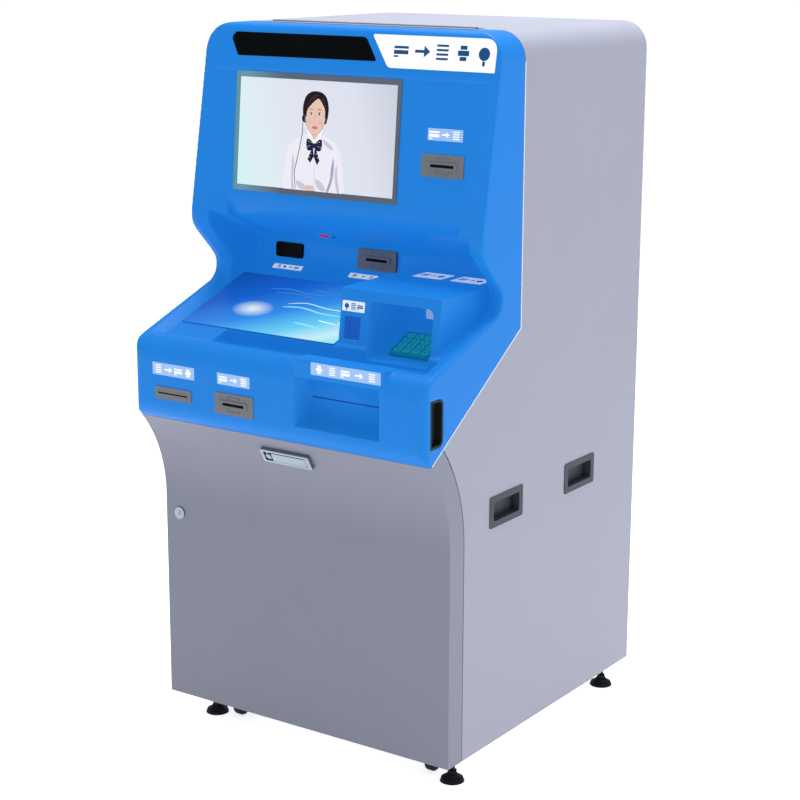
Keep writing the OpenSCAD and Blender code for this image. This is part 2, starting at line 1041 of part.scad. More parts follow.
// A place on the door's face, with local +Z leaving it.
module on_door(x, z) {
    bend = z > bend_z ? asin((z - bend_z) / bend_r) : 0;
    facing(x, door_depth - bend_r + bend_r * cos(bend), z, -bend)
        children();
}

module door_hinge_arms() {
    color([0.55, 0.56, 0.58])
        for (level = arm_levels)
            translate([hinge_x, front_y + hinge_depth, level - 15])
                difference() {
                    union() {
                        cylinder(r = 5.4, h = 30);
                        translate([-16, -2, 0])
                            cube([16, 4, 30]);
                        translate([-16, -62.5 + sheet, 0])
                            cube([4, 64.5 - sheet, 30]);
                        translate([-56, -62.5 + sheet, 0])
                            cube([44, 3, 30]);
                    }
                    translate([0, 0, -1])
                        cylinder(r = pin_r + run_fit, h = 32);
                }
}

latch_pin_x = 50;

module lock_bodies() {
    color(chrome) {
        on_door(0, latch_z)
            difference() {
                union() {
                    tile(130, 36, 9, 3, 0.8);
                    slab(116, 26, 16, -15);
                }
                translate([-1.5, 0, 0])
                    slab(112, 25, 12, 3);
                translate([-46, 0, -8])
                    cylinder(r = 7.2, h = 20);
                translate([latch_pin_x, 0, 7])
                    rotate([90, 0, 0])
                        cylinder(r = 1.5, h = 33, center = true);
            }
        on_door(0, latch_z)
            translate([latch_pin_x, 0, 7])
                rotate([90, 0, 0])
                    cylinder(r = 1.5, h = 33, center = true);
        on_door(lock_x, lock_z)
            difference() {
                union() {
                    translate([0, 0, 0.2])
                        cylinder(r = 14, h = 3);
                    translate([0, 0, -18])
                        cylinder(r = 9.2, h = 19);
                }
                cylinder(r = 7 + run_fit, h = 60, center = true);
            }
    }
}

module latch_handle() {
    color(chrome)
        on_door(0, latch_z)
            difference() {
                union() {
                    translate([latch_pin_x - 86, -11, 5])
                        cube([86, 22, 5.5]);
                    translate([latch_pin_x, 0, 7])
                        rotate([90, 0, 0])
                            cylinder(r = 3.4, h = 22, center = true);
                }
                translate([latch_pin_x, 0, 7])
                    rotate([90, 0, 0])
                        cylinder(r = 1.5 + run_fit, h = 30, center = true);
            }
}

module latch_button() {
    color(chrome)
        on_door(0, latch_z)
            translate([-46, 0, -3])
                cylinder(r = 6.8, h = 13);
}

module lock_plug() {
    color(chrome)
        on_door(lock_x, lock_z)
            difference() {
                union() {
                    translate([0, 0, -22])
                        cylinder(r = 7, h = 25.8);
                    translate([-7, -7, -25])
                        cube([14, 40, 2.9]);
                }
                translate([-1, -4, 1])
                    cube([2, 8, 6]);
            }
}

// ---------- undercarriage ----------
// A fork around a wheel whose axle is d back from the place it is drawn at.
module caster_fork(d) {
    difference() {
        union() {
            translate([0, 0, clearance - 8])
                cylinder(r = 19, h = 7.6);
            for (side = [-1, 1])
                translate([side * 12.2 - 1.2, d - 9, axle_z - 8])
                    cube([2.4, 18, clearance - axle_z]);
            translate([-13.4, d - 9, clearance - 8])
                cube([26.8, 18, 3]);
        }
        translate([0, d, axle_z])
            rotate([0, 90, 0])
                cylinder(r = axle_r, h = 40, center = true);
    }
    translate([0, d, axle_z])
        rotate([0, 90, 0])
            cylinder(r = axle_r, h = 30, center = true);
}

module swivel_fork(side) {
    color(dark)
        translate([side * caster_x, front_y + caster_axle_depth[0] - caster_trail, 0]) {
            caster_fork(caster_trail);
            translate([0, 0, clearance - 0.4])
                cylinder(r = stem_r, h = 12);
            translate([0, 0, clearance + 3])
                cylinder(r = 11, h = 6, $fn = 6);
        }
}

module fixed_caster_forks() {
    color(dark)
        for (side = [-1, 1])
            translate([side * caster_x, front_y + caster_axle_depth[1], 0]) {
                caster_fork(0);
                translate([0, 0, clearance - 0.4])
                    cylinder(r = 12, h = 0.4);
            }
}

module caster_wheel(side, d) {
    color(black)
        translate([side * caster_x, front_y + d, axle_z])
            rotate([0, 90, 0])
                difference() {
                    rotate_extrude()
                        polygon(rounded([
                            [0, -9, 0],
                            [wheel_r, -9, 3],
                            [wheel_r, 9, 3],
                            [0, 9, 0]
                        ]));
                    cylinder(r = axle_r + run_fit, h = 40, center = true);
                }
}

module levelling_foot(side, d) {
    color(dark)
        translate([side * foot_x, front_y + d, 0]) {
            cylinder(r1 = 27, r2 = 24, h = 8);
            translate([0, 0, 8])
                cylinder(r1 = 20, r2 = 12, h = 9);
            translate([0, 0, 17])
                cylinder(r = 11, h = 8, $fn = 6);
            cylinder(r = stem_r, h = clearance + 30);
        }
}

// ---------- the choice of sub-part ----------
cabinet_wrap();
rear_panel();
base_plate();
inner_frame();
computer_case();
form_printer();
paper_tray();
flush_handles();
panel_screws();
power_inlet();
hinge_cabinet_leaf();
hinge_fascia_leaf();
fascia_shell();
display_bezel();
display_panel();
sensor_window();
header_sign();
slot_bezels();
scanner_window();
status_lights();
touch_screen();
fingerprint_reader();
pinpad_body();
label_plates();
card_units();
receipt_printer();
side_pulls();
door_panel();
door_hinge_arms();
lock_bodies();
latch_handle();
latch_button();
lock_plug();
fixed_caster_forks();
swivel_fork(-1);  // caster_fork_left
swivel_fork(1);  // caster_fork_right
caster_wheel(-1, caster_axle_depth[0]);  // caster_wheel_front_left
caster_wheel(1, caster_axle_depth[0]);  // caster_wheel_front_right
caster_wheel(-1, caster_axle_depth[1]);  // caster_wheel_rear_left
caster_wheel(1, caster_axle_depth[1]);  // caster_wheel_rear_right
levelling_foot(-1, foot_depth[0]);  // foot_front_left
levelling_foot(1, foot_depth[0]);  // foot_front_right
levelling_foot(-1, foot_depth[1]);  // foot_rear_left
levelling_foot(1, foot_depth[1]);  // foot_rear_right
for (i = [0 : len(key_names) - 1])
    pin_key(i);
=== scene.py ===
"""Looks of a self-service bank machine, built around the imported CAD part. Metres, in the CAD frame."""

import math

import bmesh
import bpy
from mathutils import Matrix, Vector


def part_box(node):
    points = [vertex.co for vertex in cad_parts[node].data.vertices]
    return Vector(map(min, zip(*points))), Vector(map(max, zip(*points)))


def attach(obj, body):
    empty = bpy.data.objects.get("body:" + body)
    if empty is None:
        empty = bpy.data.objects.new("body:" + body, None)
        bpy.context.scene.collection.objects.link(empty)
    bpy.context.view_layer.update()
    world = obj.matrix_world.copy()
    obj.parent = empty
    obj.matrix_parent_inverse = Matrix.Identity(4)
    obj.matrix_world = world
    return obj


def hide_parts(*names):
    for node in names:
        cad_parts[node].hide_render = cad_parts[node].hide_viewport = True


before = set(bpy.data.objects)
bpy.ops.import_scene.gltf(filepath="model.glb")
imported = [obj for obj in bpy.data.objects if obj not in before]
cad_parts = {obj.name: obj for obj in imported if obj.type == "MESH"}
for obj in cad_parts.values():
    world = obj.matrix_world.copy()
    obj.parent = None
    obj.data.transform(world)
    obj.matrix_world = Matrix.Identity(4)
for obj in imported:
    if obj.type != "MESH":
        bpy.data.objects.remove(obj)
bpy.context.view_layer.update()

MM = 0.001

# ---------- places worked out from the frame ----------
SHELL_LOW, SHELL_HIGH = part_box("fascia_shell")
HALF = SHELL_HIGH.x / MM
FRONT = SHELL_LOW.y / MM
BELLY = SHELL_LOW.z / MM
TOP = SHELL_HIGH.z / MM
PICTURE_LOW, PICTURE_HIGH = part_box("display_panel")

# the seam where the fascia meets the cabinet
SEAM_DEPTH = 361
SEAM_Z = BELLY + 228
SEAM_START = 25

# the fascia's side outline: the rim at both sides, and the head, waist and counter between them
WALL = 2.5
CHEEK_X = HALF - 40
HEAD_EDGE = HALF - 13
LEDGE_X = -212
FAR = 520
WAIST_DEPTH = 395
HEAD_Z = TOP - 437.4
RIM_FOOT = 199.7
RIM_SLOPE = math.tan(math.radians(10.08))
BAND_Z = TOP - 97
PANEL_LEAN = math.radians(5)
CREST_Z = TOP - 410
OVERHANG_Z = BELLY + 363
DECK_FRONT_Z = BELLY + 157.6
DECK_LEAN = math.radians(19.5)
CHEEK_FRONT_Z = BELLY + 170.3
CHEEK_BACK = (316.8, BELLY + 284.5)
LIP_LEAN = math.atan2(CHEEK_BACK[1] - CHEEK_FRONT_Z, CHEEK_BACK[0])
LIP_DEPTH = 38
LIP_R = 50
LEDGE_DEPTH = 112.5
LEDGE_Z = BELLY + 162

# the hood at the counter's right, the PIN pad's cavity in it, and the form outlet's block below it
HOOD_X = (81.5, CHEEK_X - 12)
HOOD_TOP = BELLY + 320
HOOD_FRONT = 138
HOOD_FOOT = 116
CAVITY_X = (HOOD_X[1] - 173, HOOD_X[1] - 17)
CAVITY_Z = (BELLY + 177, BELLY + 296)
CAVITY_BACK = 245
PAD_LEAN = math.radians(22.6)
BLOCK_X = (58, CAVITY_X[1] - 31)
BLOCK_Z = BELLY + 188
READER_Z = BELLY + 236
PAD_W = 101
PAD_H = 84
PAD_SINK = 7
PAD_DEPTH = 178
OUTLET_X = (60, 275)
OUTLET_Z = (BELLY + 43, BELLY + 149)
OUTLET_DEPTH = 60
PULL_SIZE = (45, 100)
PULL_DEPTH = 43.5
PULL_Z = BELLY + 86

# the door's bend under the fascia, the keys and the lamps
DOOR_BEND_Z = BELLY - 200
DOOR_BEND_R = 304
KEY_HALF = 4.25
LAMP_RINGS = 7

# how far a cutting tool stands out of the face that it cuts
PROUD = 30


def rim_depth(z):
    """How far back the head's rim is at a height. All depths count back from the machine's front."""
    return RIM_FOOT + (z - HEAD_Z) * RIM_SLOPE


def panel_depth(z):
    return rim_depth(BAND_Z) + 3.3 + (z - BAND_Z) * math.tan(PANEL_LEAN)


def deck_z(depth):
    return DECK_FRONT_Z + depth * math.tan(DECK_LEAN)


def hood_depth(z):
    return HOOD_FOOT + (z - LEDGE_Z) * (HOOD_FRONT - HOOD_FOOT) / (HOOD_TOP - LEDGE_Z)


def wall_depth(z):
    low = deck_z(WAIST_DEPTH - 4)
    return WAIST_DEPTH - 4 + (z - low) * 4 / (OVERHANG_Z - low)


def place(x, depth, z, lean=0.0):
    """A frame at millimetres across, back and up, whose local +Z leaves a face leaning back by lean."""
    here = Matrix.Translation((x * MM, (FRONT + depth) * MM, z * MM))
    return here @ Matrix.Rotation(math.pi / 2 - lean, 4, "X") @ Matrix.Scale(MM, 4)


# leans of the faces, and places of the screens and slots on them
RIM_LEAN = math.atan(RIM_SLOPE)
HOOD_LEAN = math.atan((HOOD_FRONT - HOOD_FOOT) / (HOOD_TOP - LEDGE_Z))
WALL_LEAN = math.radians(3.5)
SCREEN_X = (PICTURE_LOW.x + PICTURE_HIGH.x) / 2 / MM
SCREEN_Z = TOP - 232
SCREEN_W = 420
SCREEN_H = SCREEN_W * 9 / 16
SLOT_Z = BELLY + 64
RECEIPT_X = -270
BANK_X = -100.5
HEAD_SLOT = (260, TOP - 273.5)
WAIST_Z = BELLY + 330
WAIST_X = -3
TOUCH_X = HOOD_X[0] - 1.9 - SCREEN_W / 2
TOUCH_DEPTH = LEDGE_DEPTH + SCREEN_H / 2 * math.cos(DECK_LEAN)


# ---------- materials ----------
def linear(red, green, blue):
    """A colour given as 0-255 display values, in linear light."""
    def one(value):
        value /= 255
        return value / 12.92 if value <= 0.04045 else ((value + 0.055) / 1.055) ** 2.4
    return (one(red), one(green), one(blue), 1.0)


def mixed(colour, factor):
    """A colour made darker or lighter by a factor."""
    return tuple(min(1.0, c * factor) for c in colour[:3]) + (1.0,)


def add_node(tree, kind, **inputs):
    """Adds a shader node and sets those inputs, whose names have _ for a space."""
    made = tree.nodes.new(f"ShaderNode{kind}")
    for name, value in inputs.items():
        made.inputs[name.replace("_", " ")].default_value = value
    return made


def colour_mix(tree, second):
    """A node that mixes a colour with a second, given one."""
    made = tree.nodes.new("ShaderNodeMix")
    made.data_type = "RGBA"
    made.inputs["B"].default_value = second
    return made


def surface(name, colour, rough=0.4, metal=0.0, shine=0.3, vary=0.05, grain=400.0, bump=0.02, edge_wear_and_highlight=0.25,
            glow=0.0):
    """A node material with uneven colour, roughness and bump, lighter convex edges (partly rubbed wear,
    partly a painted edge highlight) and an optional glow of its own colour, which is painted light on a part
    that is no lamp.
    """
    made = bpy.data.materials.new(name)
    made.use_nodes = True
    tree = made.node_tree
    shader = tree.nodes["Principled BSDF"]
    shader.inputs["Metallic"].default_value = metal
    shader.inputs["Specular IOR Level"].default_value = shine
    base = mixed(colour, 1 - 0.8 * glow)

    where = add_node(tree, "TexCoord")
    broad = add_node(tree, "TexNoise", Scale=6.0, Detail=4.0)
    tree.links.new(where.outputs["Object"], broad.inputs["Vector"])
    tones = add_node(tree, "ValToRGB")
    tones.color_ramp.elements[0].color = mixed(base, 1 - vary)
    tones.color_ramp.elements[1].color = mixed(base, 1 + vary)
    tones.color_ramp.elements[0].position = 0.3
    tones.color_ramp.elements[1].position = 0.7
    tree.links.new(broad.outputs["Fac"], tones.inputs["Fac"])

    # Convex edges are made lighter: partly rubbed wear, partly a painted edge highlight.
    edges = add_node(tree, "NewGeometry")
    worn_and_lit_edges = add_node(tree, "MapRange", From_Min=0.54, From_Max=0.7, To_Max=edge_wear_and_highlight)
    tree.links.new(edges.outputs["Pointiness"], worn_and_lit_edges.inputs["Value"])
    blend = colour_mix(tree, mixed(base, 1.35))
    tree.links.new(worn_and_lit_edges.outputs["Result"], blend.inputs["Factor"])
    tree.links.new(tones.outputs["Color"], blend.inputs["A"])
    tree.links.new(blend.outputs["Result"], shader.inputs["Base Color"])

    gloss = add_node(tree, "MapRange", To_Min=max(0.02, rough - 0.06), To_Max=min(1.0, rough + 0.06))
    tree.links.new(broad.outputs["Fac"], gloss.inputs["Value"])
    tree.links.new(gloss.outputs["Result"], shader.inputs["Roughness"])
    fine = add_node(tree, "TexNoise", Scale=grain, Detail=3.0)
    tree.links.new(where.outputs["Object"], fine.inputs["Vector"])
    relief = add_node(tree, "Bump", Strength=bump, Distance=0.0006)
    tree.links.new(fine.outputs["Fac"], relief.inputs["Height"])
    tree.links.new(relief.outputs["Normal"], shader.inputs["Normal"])
    # glow adds an emission of the colour itself over a base darkened to match; on a part that is no lamp this
    # is painted light that lifts its shade.
    if glow:
        shader.inputs["Emission Color"].default_value = colour
        shader.inputs["Emission Strength"].default_value = glow
    return made


def lit(name, colour, strength=0.92):
    """A lit, flat colour for a picture on a screen."""
    made = surface(name, mixed(colour, 0.05), rough=0.3, shine=0.1, vary=0.02, bump=0.0, edge_wear_and_highlight=0.0)
    shader = made.node_tree.nodes["Principled BSDF"]
    shader.inputs["Emission Color"].default_value = colour
    shader.inputs["Emission Strength"].default_value = strength
    return made


def gradient(tree, coordinate, direction, offset, stops):
    """A colour that runs through stops of (place, colour) along a direction of the coordinates."""
    where = add_node(tree, "TexCoord")
    along = add_node(tree, "VectorMath")
    along.operation = "DOT_PRODUCT"
    along.inputs[1].default_value = direction
    tree.links.new(where.outputs[coordinate], along.inputs[0])
    shift = add_node(tree, "Math")
    shift.inputs[1].default_value = offset
    tree.links.new(along.outputs["Value"], shift.inputs[0])
    ramp = add_node(tree, "ValToRGB")
    elements = ramp.color_ramp.elements
    elements[0].position, elements[0].color = stops[0]
    elements[1].position, elements[1].color = stops[-1]
    for at, colour in stops[1:-1]:
        elements.new(at).color = colour
    tree.links.new(shift.outputs["Value"], ramp.inputs["Fac"])
    return ramp.outputs["Color"]


def faded(name, direction, offset, stops, strength=0.92):
    """A lit colour that fades across a screen."""
    made = lit(name, stops[0][1], strength)
    tree = made.node_tree
    colour = gradient(tree, "UV", direction, offset, stops)
    tree.links.new(colour, tree.nodes["Principled BSDF"].inputs["Emission Color"])
    return made


def display_frame():
    """The gray screen surround, with the screen's teal light spilling over its left end."""
    made = surface("display_frame", linear(92, 102, 118), rough=0.35, shine=0.15, vary=0.04, bump=0.04,
                   edge_wear_and_highlight=0.2)
    tree = made.node_tree
    left = (SCREEN_X - SCREEN_W / 2 - 10) * MM
    reach = 130 * MM
    stops = [(0.0, linear(10, 132, 136)), (0.2, linear(70, 140, 152)), (1.0, (0, 0, 0, 1))]
    colour = gradient(tree, "Object", (1 / reach, 0, 0), -left / reach, stops)
    tree.links.new(colour, tree.nodes["Principled BSDF"].inputs["Emission Color"])
    tree.nodes["Principled BSDF"].inputs["Emission Strength"].default_value = 0.7
    return made


# The blue glows with its own colour over a darker base: painted light that lifts the shade under the head and
# in the hollows, so the blue reads nearly evenly lit.
BLUE = surface("blue_enamel", linear(27, 123, 211), rough=0.4, shine=0.1, vary=0.02, bump=0.03, edge_wear_and_highlight=0.1,
               glow=0.6)
GRAY = surface("gray_powder_coat", linear(153, 156, 172), rough=0.5, shine=0.2, vary=0.015, grain=900,
               bump=0.08, edge_wear_and_highlight=0.2)
DOOR_GRAY = surface("door_powder_coat", linear(129, 132, 148), rough=0.5, shine=0.2, vary=0.015, grain=900,
                    bump=0.08, edge_wear_and_highlight=0.2)
# A near-white glowing strip: a painted highlight where light catches the edges of the side sheets.
EDGE_HIGHLIGHT = surface("painted_edge_highlight", linear(250, 251, 255), rough=0.4, vary=0.02, glow=0.5, edge_wear_and_highlight=0.0)
STEEL = surface("zinc_steel", linear(150, 152, 156), rough=0.35, metal=1.0, vary=0.08, bump=0.05)
HINGE = surface("hinge_steel", linear(150, 156, 162), rough=0.45, metal=0.6, vary=0.08, bump=0.05)
CHROME = surface("chrome_plate", linear(142, 154, 162), rough=0.2, metal=1.0, vary=0.06, bump=0.01)
DARK = surface("dark_plastic", linear(22, 25, 28), rough=0.5, shine=0.1, vary=0.12, bump=0.15, edge_wear_and_highlight=0.3)
PULL = surface("pull_plastic", linear(26, 32, 32), rough=0.5, shine=0.15, vary=0.12, bump=0.1, edge_wear_and_highlight=0.2)
HANDLE = surface("handle_plastic", linear(60, 64, 74), rough=0.5, shine=0.2, vary=0.1, bump=0.15, edge_wear_and_highlight=0.3)
BEZEL = surface("bezel_plastic", linear(112, 116, 122), rough=0.4, shine=0.2, vary=0.05, bump=0.08, edge_wear_and_highlight=0.35)
PALE = surface("pale_housing", linear(190, 190, 186), rough=0.5, vary=0.05, bump=0.1)
BLACK = surface("black_window", linear(4, 8, 9), rough=0.25, shine=0.05, vary=0.15, bump=0.0, edge_wear_and_highlight=0.0)
READER = surface("reader_blue", linear(24, 96, 190), rough=0.4, shine=0.1, vary=0.05, bump=0.05, glow=0.5)
SIGN = surface("sign_white", linear(252, 253, 255), rough=0.3, shine=0.2, vary=0.01, bump=0.02, edge_wear_and_highlight=0.0,
               glow=0.35)
SIGN_MARK = surface("sign_blue", linear(24, 78, 128), rough=0.4, shine=0.1, vary=0.05)
# The label cards and the white ink glow with their own colour: painted light that lifts them out of the shade
# they sit in.
LABEL = surface("label_blue", linear(156, 190, 240), rough=0.4, shine=0.15, vary=0.03, bump=0.02, edge_wear_and_highlight=0.0,
                glow=0.4)
PLATE = surface("label_pale", linear(232, 244, 252), rough=0.4, shine=0.15, vary=0.02, bump=0.02, edge_wear_and_highlight=0.0,
                glow=0.4)
WHITE_INK = surface("ink_white", linear(252, 253, 255), rough=0.5, shine=0.1, vary=0.02, edge_wear_and_highlight=0.0, glow=0.5)
BLUE_INK = surface("ink_blue", linear(36, 96, 170), rough=0.5, shine=0.1, vary=0.03, edge_wear_and_highlight=0.0)
ORANGE_INK = surface("ink_orange", linear(214, 128, 60), rough=0.5, shine=0.1, vary=0.03, edge_wear_and_highlight=0.0)
RED = surface("red_lens", linear(200, 16, 40), rough=0.2, shine=0.3, vary=0.1, glow=0.5)
GREEN = surface("green_lens", linear(10, 110, 120), rough=0.2, shine=0.3, vary=0.1, glow=0.2)
# The PIN pad and its keys glow with their own colour: painted light that lifts their shade in the hood's
# cavity.
PAD = surface("pad_teal", linear(8, 124, 158), rough=0.35, shine=0.2, vary=0.08, bump=0.05, glow=0.3)
KEY = surface("key_metal", linear(28, 168, 186), rough=0.35, metal=0.2, vary=0.15, bump=0.05, glow=0.3)
RUBBER = surface("tyre_rubber", linear(26, 27, 29), rough=0.7, shine=0.2, vary=0.15, bump=0.25)


# ---------- mesh helpers ----------
def link(name, bm, materials, body, replaces=(), smooth=True):
    """Turns a bmesh into a piece that rides a body."""
    mesh = bpy.data.meshes.new(name)
    bm.normal_update()
    bm.to_mesh(mesh)
    bm.free()
    piece = bpy.data.objects.new(name, mesh)
    bpy.context.scene.collection.objects.link(piece)
    for material in materials:
        mesh.materials.append(material)
    if smooth:
        mesh.shade_smooth()
    if body:
        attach(piece, body)
    if replaces:
        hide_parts(*replaces)
    return piece


def modifier(piece, kind, **values):
    """Adds a modifier with those settings."""
    added = piece.modifiers.new(kind.lower(), kind)
    for key, value in values.items():
        setattr(added, key, value)
    return added


def soften(piece, width, segments):
    """Rounds a piece's sharp edges and evens out its shading."""
    modifier(piece, "BEVEL", width=width * MM, segments=segments, limit_method="ANGLE",
             angle_limit=math.radians(35), harden_normals=False)
    modifier(piece, "WEIGHTED_NORMAL", keep_sharp=True)


def bake(piece):
    """Applies a scratch object's modifiers and returns it with its final mesh."""
    graph = bpy.context.evaluated_depsgraph_get()
    mesh = bpy.data.meshes.new_from_object(piece.evaluated_get(graph))
    piece.modifiers.clear()
    piece.data = mesh
    return piece


def rounded(points, steps=8):
    """A closed outline from corner points (a, b, radius)."""
    outline = []
    for i, (a, b, radius) in enumerate(points):
        if radius <= 0:
            outline.append((a, b))
            continue
        here = Vector((a, b))
        u = (Vector(points[i - 1][:2]) - here).normalized()
        w = (Vector(points[(i + 1) % len(points)][:2]) - here).normalized()
        bend = u.angle(w) / 2
        centre = here + (u + w).normalized() * radius / math.sin(bend)
        start = here + u * radius / math.tan(bend) - centre
        stop = here + w * radius / math.tan(bend) - centre
        first = math.atan2(start.y, start.x)
        turn = (math.atan2(stop.y, stop.x) - first + 3 * math.pi) % (2 * math.pi) - math.pi
        for step in range(steps + 1):
            angle = first + turn * step / steps
            outline.append((centre.x + radius * math.cos(angle), centre.y + radius * math.sin(angle)))
    return outline


def round_rect(w, h, r, steps=5):
    return rounded([(-w / 2, -h / 2, r), (w / 2, -h / 2, r), (w / 2, h / 2, r), (-w / 2, h / 2, r)], steps)


def prism(bm, low, high):
    """A closed prism between two rings of points."""
    lows = [bm.verts.new(point) for point in low]
    highs = [bm.verts.new(point) for point in high]
    count = len(lows)
    for i in range(count):
        bm.faces.new((lows[i], lows[(i + 1) % count], highs[(i + 1) % count], highs[i]))
    bm.faces.new(list(reversed(lows)))
    bm.faces.new(highs)


def plate(bm, matrix, outline, low, high, material=0):
    """A flat plate with that outline in a frame's plane."""
    before = len(bm.faces)
    prism(bm, *[[matrix @ Vector((a, b, c)) for a, b in outline] for c in (low, high)])
    bm.faces.ensure_lookup_table()
    for face in bm.faces[before:]:
        face.material_index = material


def scratch_prism(low, high):
    """A prism that is only used to cut or to be joined."""
    bm = bmesh.new()
    prism(bm, low, high)
    bmesh.ops.recalc_face_normals(bm, faces=bm.faces)
    return link("scratch", bm, [], None, smooth=False)


def across(outline, x0, x1):
    """A prism of a depth-height outline between two places across the machine, as a scratch object."""
    rings = [[(x * MM, (FRONT + depth) * MM, z * MM) for depth, z in outline] for x in (x0, x1)]
    return scratch_prism(*rings)


def stamp(matrix, outline, low, high):
    """A prism with that outline in a frame's plane, as a scratch object."""
    return scratch_prism(*[[matrix @ Vector((a, b, c)) for a, b in outline] for c in (low, high)])


def carve(piece, tool, operation):
    """Cuts a scratch object with another one, and removes the tool."""
    modifier(piece, "BOOLEAN", object=tool, operation=operation, solver="EXACT")
    bpy.context.view_layer.update()
    bake(piece)
    bpy.data.objects.remove(tool)
    return piece


# ---------- fascia ----------
def rim_corners():
    return [
        (FAR, TOP, 0),
        (rim_depth(TOP), TOP, 18),
        (RIM_FOOT, HEAD_Z, 55),
        (*CHEEK_BACK, 39),
        (0, CHEEK_FRONT_Z, LIP_R),
        (0, BELLY + 14.5, 48),
        (63, BELLY - 29, 0),
        (FAR, BELLY - 29, 0),
    ]


def inset(corners, by):
    """The corners of an anticlockwise outline, moved inwards."""
    moved = []
    for i, (a, b, radius) in enumerate(corners):
        here = Vector((a, b))
        u = (here - Vector(corners[i - 1][:2])).normalized()
        w = (Vector(corners[(i + 1) % len(corners)][:2]) - here).normalized()
        before = Vector((-u.y, u.x))
        after = Vector((-w.y, w.x))
        shift = (before + after) * by / (1 + before.dot(after))
        outward = u.x * w.y - u.y * w.x > 0
        moved.append((a + shift.x, b + shift.y, radius and max(1, radius - by if outward else radius + by)))
    return moved


def rim_outline(by=0):
    return rounded(inset(rim_corners(), by))


def block_outline():
    return rounded([
        (0, BLOCK_Z, 2),
        (LIP_DEPTH + 6, BLOCK_Z, 8),
        (HOOD_FOOT, LEDGE_Z, 3),
        (HOOD_FOOT, LEDGE_Z - 20, 0),
        (0, LEDGE_Z - 40, 0),
    ])


def inner_outline(stepped):
    deck = [(LEDGE_DEPTH, deck_z(LEDGE_DEPTH), 2), (HOOD_FOOT, LEDGE_Z, 6)]
    if not stepped:
        deck = [(LIP_DEPTH + 24, deck_z(LIP_DEPTH + 24), 15)]
    return rounded([
        (FAR, TOP, 0),
        (rim_depth(TOP), TOP, 18),
        (rim_depth(BAND_Z), BAND_Z, 0),
        (panel_depth(BAND_Z), BAND_Z, 0),
        (panel_depth(CREST_Z), CREST_Z, 60),
        (WAIST_DEPTH, OVERHANG_Z, 30),
        (WAIST_DEPTH - 4, deck_z(WAIST_DEPTH - 4), 44),
        *deck,
        (LIP_DEPTH, CHEEK_FRONT_Z + LIP_DEPTH * math.tan(LIP_LEAN), 12),
        (0, CHEEK_FRONT_Z, LIP_R),
        (0, BELLY + 14.5, 48),
        (63, BELLY - 29, 0),
        (FAR, BELLY - 29, 0),
    ])


def hood_outline():
    return rounded([
        (WAIST_DEPTH + 10, HOOD_TOP, 0),
        (HOOD_FRONT, HOOD_TOP, 3),
        (HOOD_FOOT, LEDGE_Z, 0),
        (HOOD_FOOT, LEDGE_Z - 20, 0),
        (WAIST_DEPTH + 10, LEDGE_Z - 20, 0),
    ])


def cheek_slices(side):
    """Thin slices that carry the rim inwards in a hollow sweep, to the deck and to the panel."""
    reach, sweep, count = 67, 31, 20
    slant = (CREST_Z - OVERHANG_Z) / (WAIST_DEPTH - panel_depth(CREST_Z))
    above = [(100, CREST_Z - 8 + (panel_depth(CREST_Z) - 100) * slant),
             (FAR, CREST_Z - 8 - (FAR - panel_depth(CREST_Z)) * slant), (FAR, TOP + 40), (100, TOP + 40)]
    slices = []
    for i in range(count):
        near = HEAD_EDGE - reach * i / count
        far = HEAD_EDGE - reach * (i + 1) / count
        depth = sweep * (i + 0.5) / count
        low, high = sorted((side * (far - 0.4), side * near))
        cut = across(rim_outline(depth), low, high)
        if far < CHEEK_X:
            cut = carve(cut, across(above, -HALF - 20, HALF + 20), "INTERSECT")
        slices.append(cut)
    return slices


def envelope():
    """The machine's outline from the front and from above, with its rounded corners."""
    arch = rounded([(-HALF, 600, 0), (HALF, 600, 0), (HALF, TOP, 60), (-HALF, TOP, 60)], 16)
    tube = scratch_prism(
        [(x * MM, (FRONT - 20) * MM, z * MM) for x, z in arch],
        [(x * MM, (FRONT + FAR) * MM, z * MM) for x, z in arch],
    )
    back = FRONT + FAR + 40
    plan = rounded([(-HALF, FRONT, 20), (HALF, FRONT, 20), (HALF, back, 0), (-HALF, back, 0)])
    column = scratch_prism([(x * MM, y * MM, 0.5) for x, y in plan], [(x * MM, y * MM, 1.7) for x, y in plan])
    return carve(tube, column, "INTERSECT")


def fascia_blocks():
    blocks = [
        across(inner_outline(True), -HALF, HALF),
        across(inner_outline(False), -HALF, LEDGE_X),
        across(hood_outline(), *HOOD_X),
        across(block_outline(), *BLOCK_X),
    ]
    for side in (-1, 1):
        low, high = sorted((side * HEAD_EDGE, side * HALF))
        blocks.append(across(rim_outline(), low, high))
        blocks += cheek_slices(side)
    return [carve(block, envelope(), "INTERSECT") for block in blocks]


def joined(blocks):
    bm = bmesh.new()
    for block in blocks:
        bm.from_mesh(block.data)
        bpy.data.objects.remove(block)
    return link("scratch", bm, [], None, smooth=False)


def pull_outline(grow):
    """A side pull seen from +X: straight along the front, with rounded rear corners."""
    front = -PULL_SIZE[0] / 2 - grow
    back = PULL_SIZE[0] / 2 + grow
    top = PULL_SIZE[1] / 2 + grow
    return rounded([(front, -top, 2), (back, -top, 14), (back, top, 14), (front, top, 2)])


def pad_place():
    """The PIN pad's seat, sunk into the floor of its cavity."""
    seat = CAVITY_Z[0] + (PAD_DEPTH - HOOD_FOOT) * math.tan(PAD_LEAN)
    middle = (CAVITY_X[0] + CAVITY_X[1]) / 2 + 12
    return place(middle, PAD_DEPTH, seat, math.pi / 2 - PAD_LEAN) @ Matrix.Translation((0, 0, -PAD_SINK))


